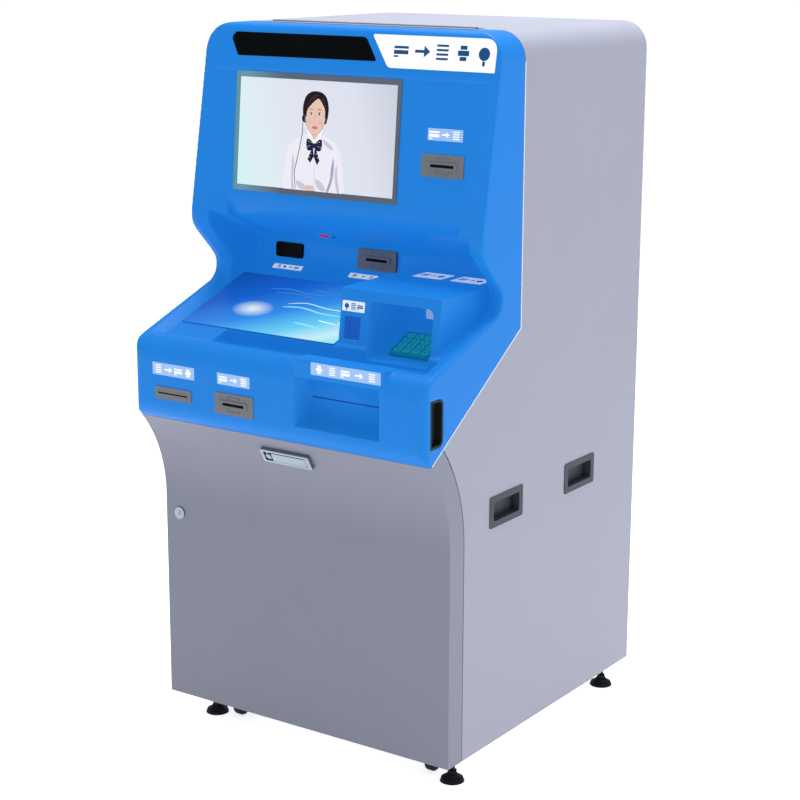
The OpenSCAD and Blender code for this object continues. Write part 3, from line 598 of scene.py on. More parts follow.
def fascia_pockets():
    """The hollows sunk into the fascia."""
    outlet = [(-20, OUTLET_Z[0]), (OUTLET_DEPTH, OUTLET_Z[0]),
              (OUTLET_DEPTH, OUTLET_Z[1]), (-20, OUTLET_Z[1])]
    cavity = [
        (80, CAVITY_Z[0] - 10),
        (hood_depth(CAVITY_Z[0]), CAVITY_Z[0]),
        (CAVITY_BACK, CAVITY_Z[0] + (CAVITY_BACK - HOOD_FOOT) * math.tan(PAD_LEAN)),
        (CAVITY_BACK, CAVITY_Z[1]),
        (80, CAVITY_Z[1]),
    ]
    mouth = rounded([(CAVITY_X[0], BELLY, 0), (CAVITY_X[1], BELLY, 0), (CAVITY_X[1], CAVITY_Z[1], 15),
                     (CAVITY_X[0], CAVITY_Z[1], 4)])
    tunnel = scratch_prism(*[[(x * MM, (FRONT + d) * MM, z * MM) for x, z in mouth] for d in (60, 260)])
    tools = [across(outlet, *OUTLET_X), carve(across(cavity, *CAVITY_X), tunnel, "INTERSECT")]
    reader = place(HOOD_X[0] + 34, hood_depth(READER_Z), READER_Z, HOOD_LEAN)
    tools.append(stamp(reader, round_rect(43, 48, 3), -14, PROUD))
    pad = pad_place()
    seat = round_rect(PAD_W + 1, PAD_H + 1, 4)
    tools.append(stamp(pad, seat, -2, PROUD))
    pull = [(PULL_DEPTH + a, PULL_Z + b) for a, b in pull_outline(0.4)]
    for side in (-1, 1):
        tools.append(across(pull, *sorted((side * (HALF - 18.3), side * (HALF + 10)))))
    return tools


def behind_seam(point):
    """Whether a point lies behind the line where the fascia ends."""
    x, depth, z = point.x / MM, point.y / MM - FRONT, point.z / MM
    slope_z = BELLY + (depth - SEAM_START) * (SEAM_Z - BELLY) / (SEAM_DEPTH + 1 - SEAM_START)
    if z < BELLY or (depth < SEAM_DEPTH and depth > SEAM_START and z < slope_z):
        return True
    waist = abs(x) < CHEEK_X + 2 and SEAM_Z < z < CREST_Z
    return depth > (WAIST_DEPTH + 5 if waist else SEAM_DEPTH)


def split(bm, point, normal):
    """Cuts every face along a plane and keeps both sides."""
    everything = bm.verts[:] + bm.edges[:] + bm.faces[:]
    bmesh.ops.bisect_plane(bm, geom=everything, plane_co=point, plane_no=normal, dist=1e-6)


def fascia():
    """The blue shell: overlapping prisms melted into one skin, pocketed, cut at the seam and given a wall."""
    voxel = 3.0
    body = joined(fascia_blocks())
    modifier(body, "REMESH", mode="VOXEL", voxel_size=voxel * MM, adaptivity=0.0)
    modifier(body, "SMOOTH", factor=0.5, iterations=6)
    modifier(body, "DECIMATE", ratio=0.4)
    bpy.context.view_layer.update()
    bake(body)
    for tool in fascia_pockets():
        carve(body, tool, "DIFFERENCE")
    bm = bmesh.new()
    bm.from_mesh(body.data)
    bpy.data.objects.remove(body)
    seam_y = (FRONT + SEAM_DEPTH) * MM
    run = Vector((0, (SEAM_DEPTH + 1 - SEAM_START) * MM, (SEAM_Z - BELLY) * MM))
    split(bm, Vector((0, seam_y, 0)), Vector((0, 1, 0)))
    split(bm, Vector((0, (FRONT + SEAM_START) * MM, BELLY * MM)), run.cross(Vector((1, 0, 0))).normalized())
    split(bm, Vector((0, 0, BELLY * MM)), Vector((0, 0, 1)))
    gone = [face for face in bm.faces if behind_seam(face.calc_center_median())]
    bmesh.ops.delete(bm, geom=gone, context="FACES")
    piece = link("fascia_skin", bm, [BLUE], "fascia", ["fascia_shell"])
    modifier(piece, "SOLIDIFY", thickness=WALL * MM, offset=-1)
    return piece


# ---------- CAD nodes carried over with their own finish ----------
def carried(names, material, width):
    """Gives CAD nodes their finish and slightly rounded edges."""
    for name in names:
        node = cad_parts[name]
        node.data.materials.clear()
        node.data.materials.append(material)
        modifier(node, "WELD", merge_threshold=0.00001)
        soften(node, width, 2)


def carry_cad_nodes():
    wheels = [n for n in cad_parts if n.startswith("caster_wheel")]
    forks = [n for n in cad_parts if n.startswith("caster_fork")]
    feet = [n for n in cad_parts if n.startswith("foot_")]
    keys = [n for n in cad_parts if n.startswith("pin_key")]
    carried(["cabinet_wrap", "rear_panel", "base_plate"], GRAY, 0.5)
    carried(["door_panel"], DOOR_GRAY, 0.5)
    carried(["inner_frame", "door_hinge_arms"], STEEL, 0.3)
    carried(["hinge_cabinet_leaf", "hinge_fascia_leaf"], HINGE, 0.3)
    carried(["lock_bodies", "latch_handle", "latch_button", "lock_plug", "panel_screws"], CHROME, 0.6)
    carried(["flush_handles"], HANDLE, 0.8)
    carried(["side_pulls"], PULL, 0.8)
    carried(["fingerprint_reader"], READER, 0.6)
    carried(["computer_case", "power_inlet", "card_units", "receipt_printer", "paper_tray",
             "fixed_caster_forks"] + forks + feet, DARK, 0.6)
    carried(wheels, RUBBER, 0.8)
    carried(["form_printer"], PALE, 1.0)
    carried(["display_bezel"], display_frame(), 0.7)
    carried(["slot_bezels"], BEZEL, 0.8)
    carried(["scanner_window", "display_panel"], BLACK, 0.4)
    carried(["touch_screen"], READER, 0.4)
    carried(["header_sign"], SIGN, 0.5)
    carried(["pinpad_body"], PAD, 0.8)
    carried(keys, KEY, 0.8)


# ---------- flat marks ----------
def disc(radius_a, radius_b, at=(0, 0), steps=24):
    return [
        (at[0] + radius_a * math.cos(2 * math.pi * i / steps),
         at[1] + radius_b * math.sin(2 * math.pi * i / steps))
        for i in range(steps)
    ]


def bar(w, h, at=(0, 0), r=0.4):
    return [(a + at[0], b + at[1]) for a, b in round_rect(w, h, min(r, w / 2.01, h / 2.01), 3)]


def between(four, steps):
    """Points on the smooth curve from the second to the third of four points."""
    p0, p1, p2, p3 = (Vector(point) for point in four)
    points = []
    for step in range(steps):
        t = step / steps
        at = 0.5 * ((2 * p1) + (p2 - p0) * t + (2 * p0 - 5 * p1 + 4 * p2 - p3) * t * t
                    + (3 * p1 - p0 - 3 * p2 + p3) * t ** 3)
        points.append((at.x, at.y))
    return points


def spline(points, steps=5):
    """A closed smooth outline through the points."""
    outline = []
    for i in range(len(points)):
        outline += between([points[(i + k) % len(points)] for k in (-1, 0, 1, 2)], steps)
    return outline


def card_mark(x, size):
    return [bar(size * 1.5, size * 0.22, (x, size * 0.28)), bar(size * 1.5, size * 0.34, (x, -size * 0.14)),
            bar(size * 0.5, size * 0.14, (x - size * 0.5, -size * 0.5))]


def sheet_mark(x, size):
    return [bar(size * 0.9, size * 0.14, (x, size * (0.42 - 0.28 * i))) for i in range(4)]


def arrow_mark(x, size):
    return [bar(size * 0.8, size * 0.2, (x - size * 0.15, 0)),
            [(x + size * 0.2, -size * 0.4), (x + size * 0.7, 0), (x + size * 0.2, size * 0.4)]]


def ring_mark(x, size):
    return [disc(size * 0.42, size * 0.42, (x, 0)), bar(size * 0.2, size * 0.3, (x, -size * 0.6))]


def print_mark(x, size):
    return [bar(size, size * 0.4, (x, 0)), bar(size * 0.6, size * 0.3, (x, size * 0.42)),
            bar(size * 0.6, size * 0.3, (x, -size * 0.42))]


def marks(name, matrix, outlines, height, material, body="fascia", thick=0.15):
    bm = bmesh.new()
    for outline in outlines:
        plate(bm, matrix, outline, height, height + thick)
    bmesh.ops.recalc_face_normals(bm, faces=bm.faces)
    return link(name, bm, [material], body, smooth=False)


def label(name, matrix, size, symbols, card=None, ink=None):
    """A printed label: a thin card with raised symbols on it."""
    bm = bmesh.new()
    plate(bm, matrix, round_rect(*size, 1.2, 3), 0.1, 0.75, 0)
    for outline in symbols:
        plate(bm, matrix, outline, 0.7, 0.95, 1)
    bmesh.ops.recalc_face_normals(bm, faces=bm.faces)
    link(name, bm, [card or LABEL, ink or WHITE_INK], "fascia", ["label_plates"], smooth=False)


def corner_place(x, angle, radius=44):
    """A place in the hollow corner between the deck and the waist wall, leaning back by angle."""
    deck = Vector((-math.cos(DECK_LEAN), -math.sin(DECK_LEAN)))
    foot = Vector((WAIST_DEPTH - 4, deck_z(WAIST_DEPTH - 4)))
    wall = (Vector((WAIST_DEPTH, OVERHANG_Z)) - foot).normalized()
    centre = foot + (deck + wall).normalized() * radius / math.sin(deck.angle(wall) / 2)
    lean = math.radians(angle)
    reach = radius - 1.5
    return place(x, centre.x + reach * math.cos(lean), centre.y - reach * math.sin(lean), lean)


def labels():
    head_x, head_z = HEAD_SLOT
    label("head_label", place(head_x + 2, panel_depth(head_z + 64), head_z + 64, PANEL_LEAN), (86, 25),
          card_mark(-27, 17) + arrow_mark(0, 15) + sheet_mark(27, 17))
    label("scanner_label", corner_place(-244, 55), (82, 14),
          sheet_mark(-24, 9) + ring_mark(-8, 8) + arrow_mark(8, 8) + card_mark(25, 8), PLATE, BLUE_INK)
    label("card_label", corner_place(-32, 55), (76, 14),
          card_mark(-22, 8) + arrow_mark(0, 8) + sheet_mark(22, 9), PLATE, ORANGE_INK)
    label("reader_label", place(HOOD_X[0] + 35, hood_depth(HOOD_TOP - 39), HOOD_TOP - 39, HOOD_LEAN),
          (57, 22),
          ring_mark(-17, 13) + sheet_mark(0, 13) + card_mark(17, 10), PLATE, BLUE_INK)
    for name, x, w in (("left", 174, 73), ("right", 271.5, 75)):
        flat = place(x, 346, HOOD_TOP, math.pi / 2)
        symbols = sheet_mark(-w * 0.28, 20) + arrow_mark(0, 13) + ring_mark(w * 0.28, 18)
        label(f"hood_label_{name}", flat, (w, 56), symbols, PLATE, BLUE_INK)
    label("receipt_label", place(-269, 0, BELLY + 116.5), (118, 27),
          sheet_mark(-42, 18) + arrow_mark(-15, 17) + card_mark(14, 15) + print_mark(42, 15))
    label("bank_label", place(-102, 0, BELLY + 117.5), (88, 25),
          card_mark(-28, 15) + arrow_mark(0, 15) + sheet_mark(28, 17))
    label("form_label", place(BLOCK_X[1] - 93.5, 0, BLOCK_Z - 16), (175, 26),
          print_mark(-66, 15) + sheet_mark(-33, 17) + card_mark(0, 15) + arrow_mark(33, 16)
          + sheet_mark(66, 17))


def sign_marks():
    matrix = place(HALF, rim_depth(TOP - 44), TOP - 44, RIM_LEAN)
    symbols = (card_mark(-243, 24) + arrow_mark(-192, 30) + sheet_mark(-141, 32) + print_mark(-90, 27)
               + ring_mark(-40, 32))
    marks("sign_marks", matrix, symbols, 2.2, SIGN_MARK)


def sensor_glass():
    """The black glass over the room sensors."""
    matrix = place(-115, rim_depth(TOP - 44.5), TOP - 44.5, RIM_LEAN)
    outline = rounded([(-176, -25.5, 4), (-198, 14, 10), (-186, 25.5, 8), (164, 25.5, 16), (196, -24, 3)])
    bm = bmesh.new()
    plate(bm, matrix, outline, -1.5, 1.2)
    bmesh.ops.recalc_face_normals(bm, faces=bm.faces)
    glass = link("sensor_glass", bm, [BLACK], "fascia", ["sensor_window"], smooth=False)
    soften(glass, 0.5, 2)


# ---------- slots ----------
def slot_inserts():
    """The dark slot as a black bar of painted shadow, the pale lip under it with a painted highlight, and the
    card guides in each slot frame.
    """
    black = surface("slot_shadow", linear(8, 10, 12), rough=0.6, shine=0.05, vary=0.1)
    glint = surface("slot_lip_highlight", linear(172, 182, 190), rough=0.3, metal=0.3, vary=0.05)
    places = {
        "head": (place(HEAD_SLOT[0], panel_depth(HEAD_SLOT[1]), HEAD_SLOT[1], PANEL_LEAN), 4.7, 57),
        "waist": (place(WAIST_X, wall_depth(WAIST_Z), WAIST_Z, WALL_LEAN), 10.7, 57),
        "bank": (place(BANK_X, 0, SLOT_Z), 4.7, 57),
        "receipt": (place(RECEIPT_X, 0, SLOT_Z), 2.7, 83),
    }
    for name, (matrix, height, width) in places.items():  # height is how far the frame stands out
        # A black bar of painted shadow in and around the slot's opening.
        marks(f"slot_shadow_{name}", matrix, [bar(width, 6.2, (0, 0), 1)], height - 1.8, black,
              thick=2.0)
        # A pale strip under the slot: its lip, with a painted highlight along it.
        marks(f"slot_lip_highlight_{name}", matrix, [bar(width * 0.94, 1.1, (0, -4.1), 0.4)], height - 0.6, glint,
              thick=0.5)
        if name != "receipt":
            guides = [bar(2.2, 9, (side * 15, way * 12)) for side in (-1, 1) for way in (-1, 1)]
            guides += [bar(32, 2, (0, way * 16)) for way in (-1, 1)]
            marks(f"card_guides_{name}", matrix, guides, height - 2.0, BEZEL, thick=1.0)
    outlet = place((OUTLET_X[0] + OUTLET_X[1]) / 2, OUTLET_DEPTH, BELLY + 95)
    shade = surface("form_slot", linear(18, 74, 150), rough=0.5, shine=0.1, vary=0.05)
    marks("form_slot_shadow", outlet, [bar(210, 2.5)], 0.05, shade, thick=0.3)


def cavity_card():
    """The small pale instruction card at the top of the PIN pad cavity's back wall."""
    # The card glows faintly: painted light that lifts it out of the cavity's shade.
    card = surface("cavity_card", linear(196, 222, 240), rough=0.4, shine=0.15, vary=0.06, glow=0.2)
    matrix = place(CAVITY_X[1] - 58, CAVITY_BACK, CAVITY_Z[1] - 28, 0)
    marks("cavity_card", matrix, [bar(68, 37, (0, 0), 2)], 0.4, card, thick=0.8)


def sheet_edge_highlights():
    """A painted highlight on the edge of the cabinet's side sheets, along the sloping seam and up the head: a
    thin near-white strip that glows.
    """
    start = (SEAM_START + 3, BELLY + 1)
    stop = (SEAM_DEPTH + 2, SEAM_Z + 1)
    edge_top = TOP - 62
    outline = [start, stop, (stop[0], edge_top), (stop[0] + 1.4, edge_top), (stop[0] + 1.4, stop[1] - 1),
               (start[0] + 1.8, start[1])]
    for side in (-1, 1):
        bm = bmesh.new()
        xs = sorted((side * (HALF - 1.9), side * (HALF + 0.15)))
        rings = [[(x * MM, (FRONT + depth) * MM, z * MM) for depth, z in outline] for x in xs]
        prism(bm, *rings)
        bmesh.ops.recalc_face_normals(bm, faces=bm.faces)
        link(f"sheet_edge_{'left' if side < 0 else 'right'}", bm, [EDGE_HIGHLIGHT], "cabinet",
             smooth=False)


# ---------- pictures on the screens ----------
def picture_frame():
    return place(SCREEN_X, panel_depth(SCREEN_Z), SCREEN_Z, PANEL_LEAN)


def mirror(points):
    return points + [(-a, b) for a, b in reversed(points) if abs(a) > 0.01]


def curve(points, steps=6):
    """An open smooth line through the points."""
    padded = [points[0], *points, points[-1]]
    line = []
    for four in zip(padded, padded[1:], padded[2:], padded[3:]):
        line += between(four, steps)
    return line + [points[-1]]


def stroke(points, width):
    """A thin closed outline along a line of points, tapering at its ends."""
    line = curve(points) if len(points) > 2 else points
    left, right = [], []
    for i, point in enumerate(line):
        before = Vector(line[max(0, i - 1)])
        after = Vector(line[min(len(line) - 1, i + 1)])
        along = (after - before).normalized()
        taper = min(1.0, 0.35 + 4 * min(i, len(line) - 1 - i) / len(line))
        side = Vector((-along.y, along.x)) * width / 2 * taper
        left.append(tuple(Vector(point) + side))
        right.append(tuple(Vector(point) - side))
    return left + right[::-1]


def attendant():
    """A made-up attendant in a white blouse, on textbook proportions, drawn as layered flat shapes."""
    skin = linear(234, 200, 184)
    colours = {
        "hair": linear(30, 22, 28),
        "hair_light": linear(74, 58, 64),
        "skin": skin,
        "skin_shade": mixed(skin, 0.74),
        "blush": linear(236, 184, 172),
        "eye_white": linear(244, 240, 238),
        "eye": linear(44, 30, 28),
        "lip": linear(206, 112, 114),
        "blouse": linear(240, 239, 250),
        "blouse_shade": linear(206, 202, 222),
        "fold": linear(174, 164, 192),
        "collar": linear(252, 252, 255),
        "navy": linear(24, 26, 58),
        "navy_light": linear(58, 62, 104),
        "cable": linear(92, 96, 116),
    }
    order = list(colours)
    layers = [
        # hair at the back, then the neck
        ("hair", spline(mirror([(0, 95), (16, 92), (28, 82), (34, 64), (34, 48), (31, 34), (24, 26)]))),
        ("skin_shade", spline([(-14, 22), (14, 22), (13, 4), (20, -2), (0, -20), (-20, -2), (-13, 4)])),
        ("skin", spline([(-13, 20), (11, 20), (9, 2), (12, -4), (0, -17), (-14, -4), (-12, 4)])),
        # blouse with its folds, and the joined hands
        ("blouse", spline(mirror([(0, -8), (14, 4), (26, 2), (50, -10), (68, -24), (76, -50), (79, -84),
                                  (80, -117.6), (0, -117.6)]), 4)),
        ("blouse_shade", spline([(-56, -40), (-52, -62), (-54, -90), (-50, -116), (-56, -116), (-59, -88),
                                 (-58, -60)])),
        ("fold", spline([(53, -44), (48, -64), (46, -90), (37, -116), (43, -116), (52, -92), (55, -66)])),
        ("blouse_shade", spline([(62, -58), (58, -84), (66, -116), (72, -116), (66, -86)])),
        ("blouse_shade", spline([(22, -6), (36, -12), (52, -24), (44, -26), (30, -18)])),
        ("blouse_shade", spline([(8, -92), (26, -100), (34, -114), (24, -116), (10, -106)])),
        ("blouse_shade", spline([(-40, -98), (-18, -108), (-8, -116), (-30, -116), (-44, -106)])),
        ("blouse_shade", stroke([(3, -58), (3.5, -90), (3, -117)], 1.2)),
        ("skin", spline([(-26, -113), (-14, -106), (0, -107), (6, -112), (4, -117), (-24, -117)])),
        ("skin_shade", stroke([(-20, -112), (-8, -110), (2, -113)], 1.4)),
        # collar and scarf
        ("collar", [(-21, 14), (-13, 12), (-1, -14), (-15, -21)]),
        ("collar", [(21, 14), (13, 12), (1, -14), (15, -21)]),
        ("blouse_shade", stroke([(-22, 8), (-15, -21), (-2, -14)], 0.9)),
        ("blouse_shade", stroke([(22, 8), (15, -21), (2, -14)], 0.9)),
        ("navy", [(-3, -22), (-16, -50), (-9, -58), (0, -44)]),
        ("navy", [(3, -22), (16, -52), (10, -62), (0, -44)]),
        ("navy", spline([(-2, -18), (-10, -9), (-19, -7), (-21, -18), (-18, -30), (-10, -32), (-2, -26)])),
        ("navy", spline([(2, -18), (10, -9), (19, -7), (21, -18), (18, -30), (10, -32), (2, -26)])),
        ("navy_light", stroke([(-18, -12), (-10, -20), (-3, -21)], 1.0)),
        ("navy_light", stroke([(18, -12), (10, -20), (3, -21)], 1.0)),
        ("navy_light", disc(4.4, 5.4, (0, -21))),
        ("navy", disc(3.5, 4.5, (0, -21))),
        # head
        ("skin_shade", spline(mirror([(0, 82), (15, 79), (25, 67), (28, 50), (26.5, 34), (20, 16), (11, 5),
                                      (0, 2)]))),
        ("skin", spline(mirror([(0, 82), (14, 79), (23, 67), (26, 50), (24.5, 34), (18.5, 17), (10, 6.5),
                                (0, 3.6)]))),
        ("blush", disc(6.0, 4.0, (-14.5, 29))),
        ("blush", disc(6.0, 4.0, (14.5, 29))),
        ("hair", spline([(-25, 38), (-32, 56), (-26, 80), (-4, 92), (20, 88), (31, 68), (30, 48), (26, 38),
                         (25, 56), (17, 70), (8, 79), (0, 76), (-12, 66), (-22, 54)])),
        ("hair_light", stroke([(-22, 64), (-12, 76), (2, 83)], 1.6)),
        ("hair_light", stroke([(-16, 76), (-4, 85), (8, 86)], 1.3)),
        ("hair_light", stroke([(14, 82), (23, 73), (27, 60)], 1.3)),
        ("skin_shade", stroke([(-2.2, 46), (-2.6, 36), (-4.2, 30)], 1.1)),
        ("skin_shade", spline([(-4.6, 28.6), (0, 26.6), (4.6, 28.6), (3, 26.8), (0, 25.2), (-3, 26.8)])),
        ("lip", spline([(-8.2, 18.8), (-3, 20.8), (0, 20), (3, 20.8), (8.2, 18.8), (4, 15), (-4, 15)])),
        ("skin_shade", stroke([(-8.2, 18.8), (0, 18.2), (8.2, 18.8)], 0.7)),
        ("skin_shade", stroke([(-3, 12), (0, 11.4), (3, 12)], 0.8)),
        # headset
        ("cable", disc(4.4, 8.0, (-31, 36))),
        ("hair", disc(3.2, 6.4, (-31, 36))),
        ("cable", stroke([(-33, 30), (-33, 6), (-38, -24), (-45, -56), (-50, -78), (-49, -96),
                          (-45, -116)], 1.5)),
    ]
    for side in (-1, 1):
        layers += [
            ("eye_white", spline([(side * 5.8, 46.4), (side * 11, 49.6), (side * 16.4, 47.2),
                                  (side * 11, 44.6)])),
            ("eye", disc(2.6, 2.6, (side * 11, 47))),
            ("eye", spline([(side * 5.2, 46.6), (side * 11, 50.6), (side * 17.4, 48), (side * 11, 49.6)])),
            ("eye_white", disc(0.8, 0.8, (side * 11 + 1, 48))),
            ("hair_light", spline([(side * 5, 54.6), (side * 11.6, 57.6), (side * 18.4, 55),
                                   (side * 11.6, 56)])),
        ]
        layers += [("collar", disc(0.8, 0.8, (side * a, b))) for a, b in
                   ((8, -14), (14, -12), (12, -22), (17, -24), (7, -38), (11, -46))]
    materials = [lit(f"picture_{key}", colours[key]) for key in order]
    bm = bmesh.new()
    matrix = picture_frame() @ Matrix.Translation((-1, 0, 0))
    for i, (key, outline) in enumerate(layers):
        plate(bm, matrix, outline, 1.05, 1.12 + 0.02 * (i + 1), order.index(key))
    bmesh.ops.recalc_face_normals(bm, faces=bm.faces)
    link("attendant_picture", bm, materials, "fascia", smooth=False)


def screen_face(name, matrix, size, height, material):
    """A flat picture with coordinates that run from 0 to 1 across it and up it."""
    bm = bmesh.new()
    w, h = size
    grid = bm.loops.layers.uv.new("uv")
    corners = [(-w / 2, -h / 2), (w / 2, -h / 2), (w / 2, h / 2), (-w / 2, h / 2)]
    face = bm.faces.new([bm.verts.new(matrix @ Vector((a, b, height))) for a, b in corners])
    for loop, (a, b) in zip(face.loops, corners):
        loop[grid].uv = (a / w + 0.5, b / h + 0.5)
    link(name, bm, [material], "fascia", smooth=False)


def display_backdrop():
    """The pale studio wall behind the attendant, cool at the left and grayer at the upper right."""
    wall = faded("backdrop", (0.85, 0.15, 0), 0.0, [
        (0.0, linear(214, 246, 250)), (0.16, linear(226, 242, 248)), (0.4, linear(229, 230, 244)),
        (0.75, linear(226, 228, 242)), (1.0, linear(204, 208, 220)),
    ])
    screen_face("display_backdrop", picture_frame(), (SCREEN_W - 1, SCREEN_H - 1), 1.05, wall)


GLOW_AT = (0.32, 0.38)
GLOW_SCALE = (7.5, 6.5)


def touch_picture():
    """Light ribbons on a blue ground that brightens towards the near right corner."""
    ground = faded("touch_ground", (0.55, -0.45, 0), 0.45, [
        (0.0, linear(14, 74, 164)), (0.3, linear(22, 96, 206)), (0.55, linear(52, 142, 236)),
        (0.76, linear(110, 214, 250)), (0.9, linear(206, 246, 252)), (1.0, linear(140, 236, 244)),
    ])
    tree = ground.node_tree
    shader = tree.nodes["Principled BSDF"]
    plain = shader.inputs["Emission Color"].links[0].from_socket
    where = add_node(tree, "TexCoord")
    shift = (-GLOW_AT[0] * GLOW_SCALE[0], -GLOW_AT[1] * GLOW_SCALE[1], 0.0)
    spread = add_node(tree, "Mapping", Scale=(*GLOW_SCALE, 1.0), Location=shift)
    tree.links.new(where.outputs["UV"], spread.inputs["Vector"])
    glow = add_node(tree, "TexGradient")
    glow.gradient_type = "SPHERICAL"
    tree.links.new(spread.outputs["Vector"], glow.inputs["Vector"])
    blend = colour_mix(tree, linear(236, 252, 255))
    tree.links.new(glow.outputs["Fac"], blend.inputs["Factor"])
    tree.links.new(plain, blend.inputs["A"])
    tree.links.new(blend.outputs["Result"], shader.inputs["Emission Color"])
    matrix = place(TOUCH_X, TOUCH_DEPTH, deck_z(TOUCH_DEPTH), math.pi / 2 - DECK_LEAN)
    screen_face("touch_picture", matrix, (SCREEN_W - 3, SCREEN_H - 3), 1.95, ground)
    bright = lit("touch_bright", linear(226, 252, 255), 0.95)
    soft = lit("touch_soft", linear(146, 226, 252), 0.95)
    faint = lit("touch_faint", linear(70, 138, 214), 0.95)
    marks("touch_beams", matrix, [
        stroke([(-6, 10), (40, 22), (100, 12), (160, 10)], 2.6),
        stroke([(176, 34), (172, 0), (168, -44)], 5.0),
        stroke([(112, -38), (140, -42), (168, -46)], 3.6),
    ], 1.97, bright, thick=0.05)
    marks("touch_ribbons", matrix, [
        stroke([(-10, -4), (40, 2), (100, -10), (156, -12)], 5.0),
        stroke([(60, -58), (110, -64), (150, -74)], 7.0),
    ], 1.96, soft, thick=0.04)
    marks("touch_clouds", matrix, [
        stroke([(-90, 62), (-40, 70), (20, 60), (70, 66)], 3.0),
        stroke([(-70, 50), (-10, 54), (60, 44)], 2.4),
        stroke([(20, 80), (80, 74), (130, 80)], 2.4),
    ], 1.96, faint, thick=0.04)


# ---------- small details ----------
def key_digits():
    """Raised strokes on the sixteen keys: nine digits in bars, and plain bars on the rest."""
    names = sorted(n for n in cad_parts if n.startswith("pin_key"))
    ink = surface("key_ink", linear(10, 40, 52), rough=0.5, vary=0.05)
    segments = {"a": (0, 2), "b": (1, 1), "c": (1, -1), "d": (0, -2), "e": (-1, -1), "f": (-1, 1),
                "g": (0, 0)}
    digits = ["bc", "abged", "abgcd", "fgbc", "afgcd", "afgedc", "abc", "abcdefg", "abfgcd"]
    shown = 0
    for name in names:
        low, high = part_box(name)
        row, column = (int(part) for part in name.split("_")[-2:])
        centre = (low + high) / 2
        tilt = Matrix.Rotation(PAD_LEAN, 4, "X")
        top = centre + tilt @ Vector((0, 0, KEY_HALF * MM))
        matrix = Matrix.Translation(top) @ tilt @ Matrix.Scale(MM, 4)
        if column < 4 and row < 4:
            outlines = []
            for letter in digits[shown]:
                a, b = segments[letter]
                size = (2.6, 0.7) if letter in "adg" else (0.7, 2.2)
                outlines.append(bar(*size, (a * 1.6, b * 1.4), 0.2))
            shown += 1
        else:
            outlines = [bar(7, 1.2)]
        marks(f"{name}_mark", matrix, outlines, -0.05, ink, body=name, thick=0.15)


def lamps():
    """The two lamps under the head, each a shallow dome."""
    low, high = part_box("status_lights")
    lean = math.atan2(CREST_Z - OVERHANG_Z, WAIST_DEPTH - panel_depth(CREST_Z))
    z = OVERHANG_Z + 30 * math.tan(lean)
    lenses = (("red_lens", low.x / MM + 11.5, 11.5, RED), ("green_lens", high.x / MM - 5, 5, GREEN))
    for name, x, radius, material in lenses:
        matrix = place(x, WAIST_DEPTH - 30, z, lean - math.pi / 2)
        bm = bmesh.new()
        previous = None
        for i in range(LAMP_RINGS):
            turn = math.pi / 2 * i / LAMP_RINGS
            wide = radius * math.cos(turn)
            up = 0.3 + 3.2 * math.sin(turn)
            ring = [bm.verts.new(matrix @ Vector((a, b, up))) for a, b in disc(wide, wide)]
            if previous:
                for j in range(len(ring)):
                    k = (j + 1) % len(ring)
                    bm.faces.new((previous[j], previous[k], ring[k], ring[j]))
            previous = ring
        bm.faces.new(previous)
        bmesh.ops.recalc_face_normals(bm, faces=bm.faces)
        link(name, bm, [material], "fascia", ["status_lights"])


def latch_plate():
    """The plate around the latch's round button."""
    low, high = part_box("latch_button")
    middle = (low + high) / 2
    lean = -math.asin(min(1, max(0, (middle.z / MM - DOOR_BEND_Z) / DOOR_BEND_R)))
    matrix = Matrix.Translation(middle) @ Matrix.Rotation(math.pi / 2 - lean, 4, "X") @ Matrix.Scale(MM, 4)
    bm = bmesh.new()
    plate(bm, matrix, round_rect(19.5, 24.4, 1), -1.5, 2.2)
    piece = link("latch_plate", bm, [CHROME], "door", smooth=False)
    hole = disc(7.2, 7.2)
    carve(piece, stamp(matrix, hole, -10, 10), "DIFFERENCE")


# ---------- stage ----------
# light from the floor, from the world on the machine, and from the world as the camera sees it
FLOOR_GLOW = 0.68
FILL_LIGHT = 0.4
BACKDROP_LIGHT = 1.05
SOFTBOXES = {
    # name: (place, size across, watts)
    "right_softbox": ((3.4, 0.6, 2.0), 2.4, 29),
    "top_softbox": ((0, 0.5, 4.2), 2.5, 160),
    "front_softbox": ((-0.8, -3.8, 2.4), 2.0, 10),
}
LIGHT_AIM = (0, 0, 0.9)

# where the camera stands, how it is turned in degrees, and its lens in millimetres
EYE = (2.4279, -3.49995, 1.8088)
EYE_AZIMUTH = 34.562
EYE_ELEVATION = 13.763
EYE_ROLL = 0.183
LENS = 86.48
LENS_SHIFT = (0.00055, -0.00555)


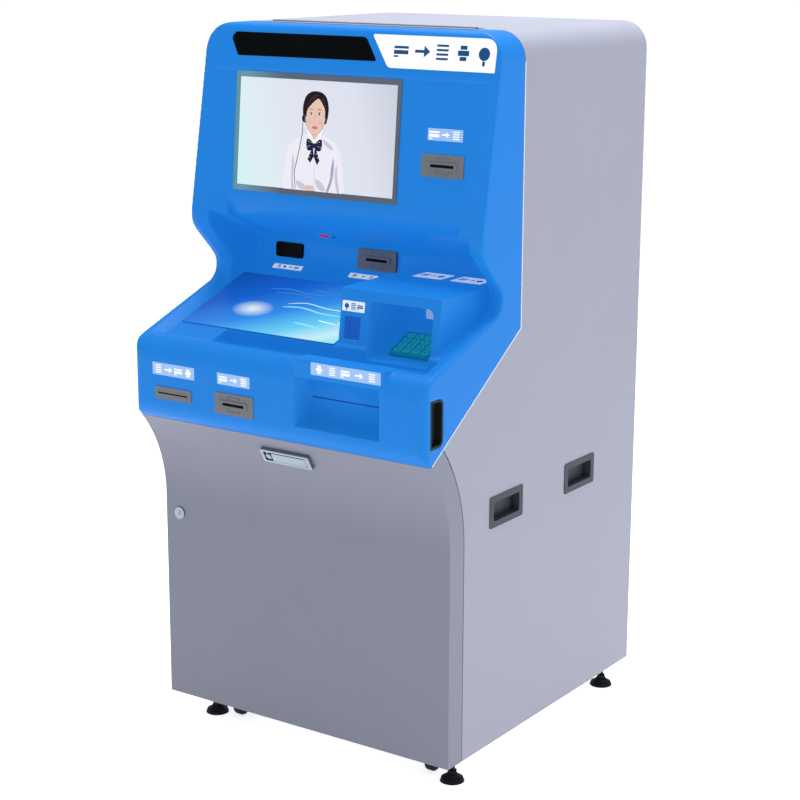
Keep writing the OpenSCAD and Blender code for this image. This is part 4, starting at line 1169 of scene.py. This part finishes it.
def softbox(name, at, size, power):
    """A square light aimed at the machine's middle."""
    light = bpy.data.lights.new(name, "AREA")
    light.size = size
    light.energy = power
    holder = bpy.data.objects.new(name, light)
    holder.location = at
    holder.rotation_euler = (Vector(LIGHT_AIM) - Vector(at)).to_track_quat("-Z", "Y").to_euler()
    bpy.context.scene.collection.objects.link(holder)


def stage():
    """A white floor, an even white world and three softboxes."""
    white = surface("floor_white", linear(252, 252, 252), rough=0.9, shine=0.0, vary=0.0, bump=0.0, edge_wear_and_highlight=0.0)
    floor_shader = white.node_tree.nodes["Principled BSDF"]
    floor_shader.inputs["Emission Color"].default_value = (1, 1, 1, 1)
    floor_shader.inputs["Emission Strength"].default_value = FLOOR_GLOW
    bm = bmesh.new()
    bmesh.ops.create_grid(bm, x_segments=2, y_segments=2, size=30)
    floor = link("floor", bm, [white], None, smooth=False)

    world = bpy.data.worlds.new("studio")
    world.use_nodes = True
    tree = world.node_tree
    backdrop = tree.nodes["Background"]
    backdrop.inputs["Color"].default_value = (1, 1, 1, 1)
    rays = add_node(tree, "LightPath")
    level = add_node(tree, "MapRange", To_Min=FILL_LIGHT, To_Max=BACKDROP_LIGHT)
    tree.links.new(rays.outputs["Is Camera Ray"], level.inputs["Value"])
    tree.links.new(level.outputs["Result"], backdrop.inputs["Strength"])
    bpy.context.scene.world = world
    bpy.context.scene.view_settings.view_transform = "Standard"
    for name, settings in SOFTBOXES.items():
        softbox(name, *settings)


def camera():
    """The camera of the photograph, placed in front and to the right of the machine."""
    data = bpy.data.cameras.new("camera")
    data.lens = LENS
    data.sensor_width = 36
    data.shift_x, data.shift_y = LENS_SHIFT
    data.clip_end = 100
    eye = bpy.data.objects.new("camera", data)
    turn = Matrix.Rotation(math.radians(EYE_AZIMUTH), 3, "Z")
    turn = turn @ Matrix.Rotation(math.radians(90 - EYE_ELEVATION), 3, "X")
    turn = turn @ Matrix.Rotation(math.radians(EYE_ROLL), 3, "Z")
    eye.matrix_world = Matrix.Translation(EYE) @ turn.to_4x4()
    bpy.context.scene.collection.objects.link(eye)
    bpy.context.scene.camera = eye


fascia()
carry_cad_nodes()
display_backdrop()
attendant()
touch_picture()
labels()
sign_marks()
sensor_glass()
slot_inserts()
key_digits()
lamps()
latch_plate()
cavity_card()
sheet_edge_highlights()
stage()
camera()

bpy.context.view_layer.update()
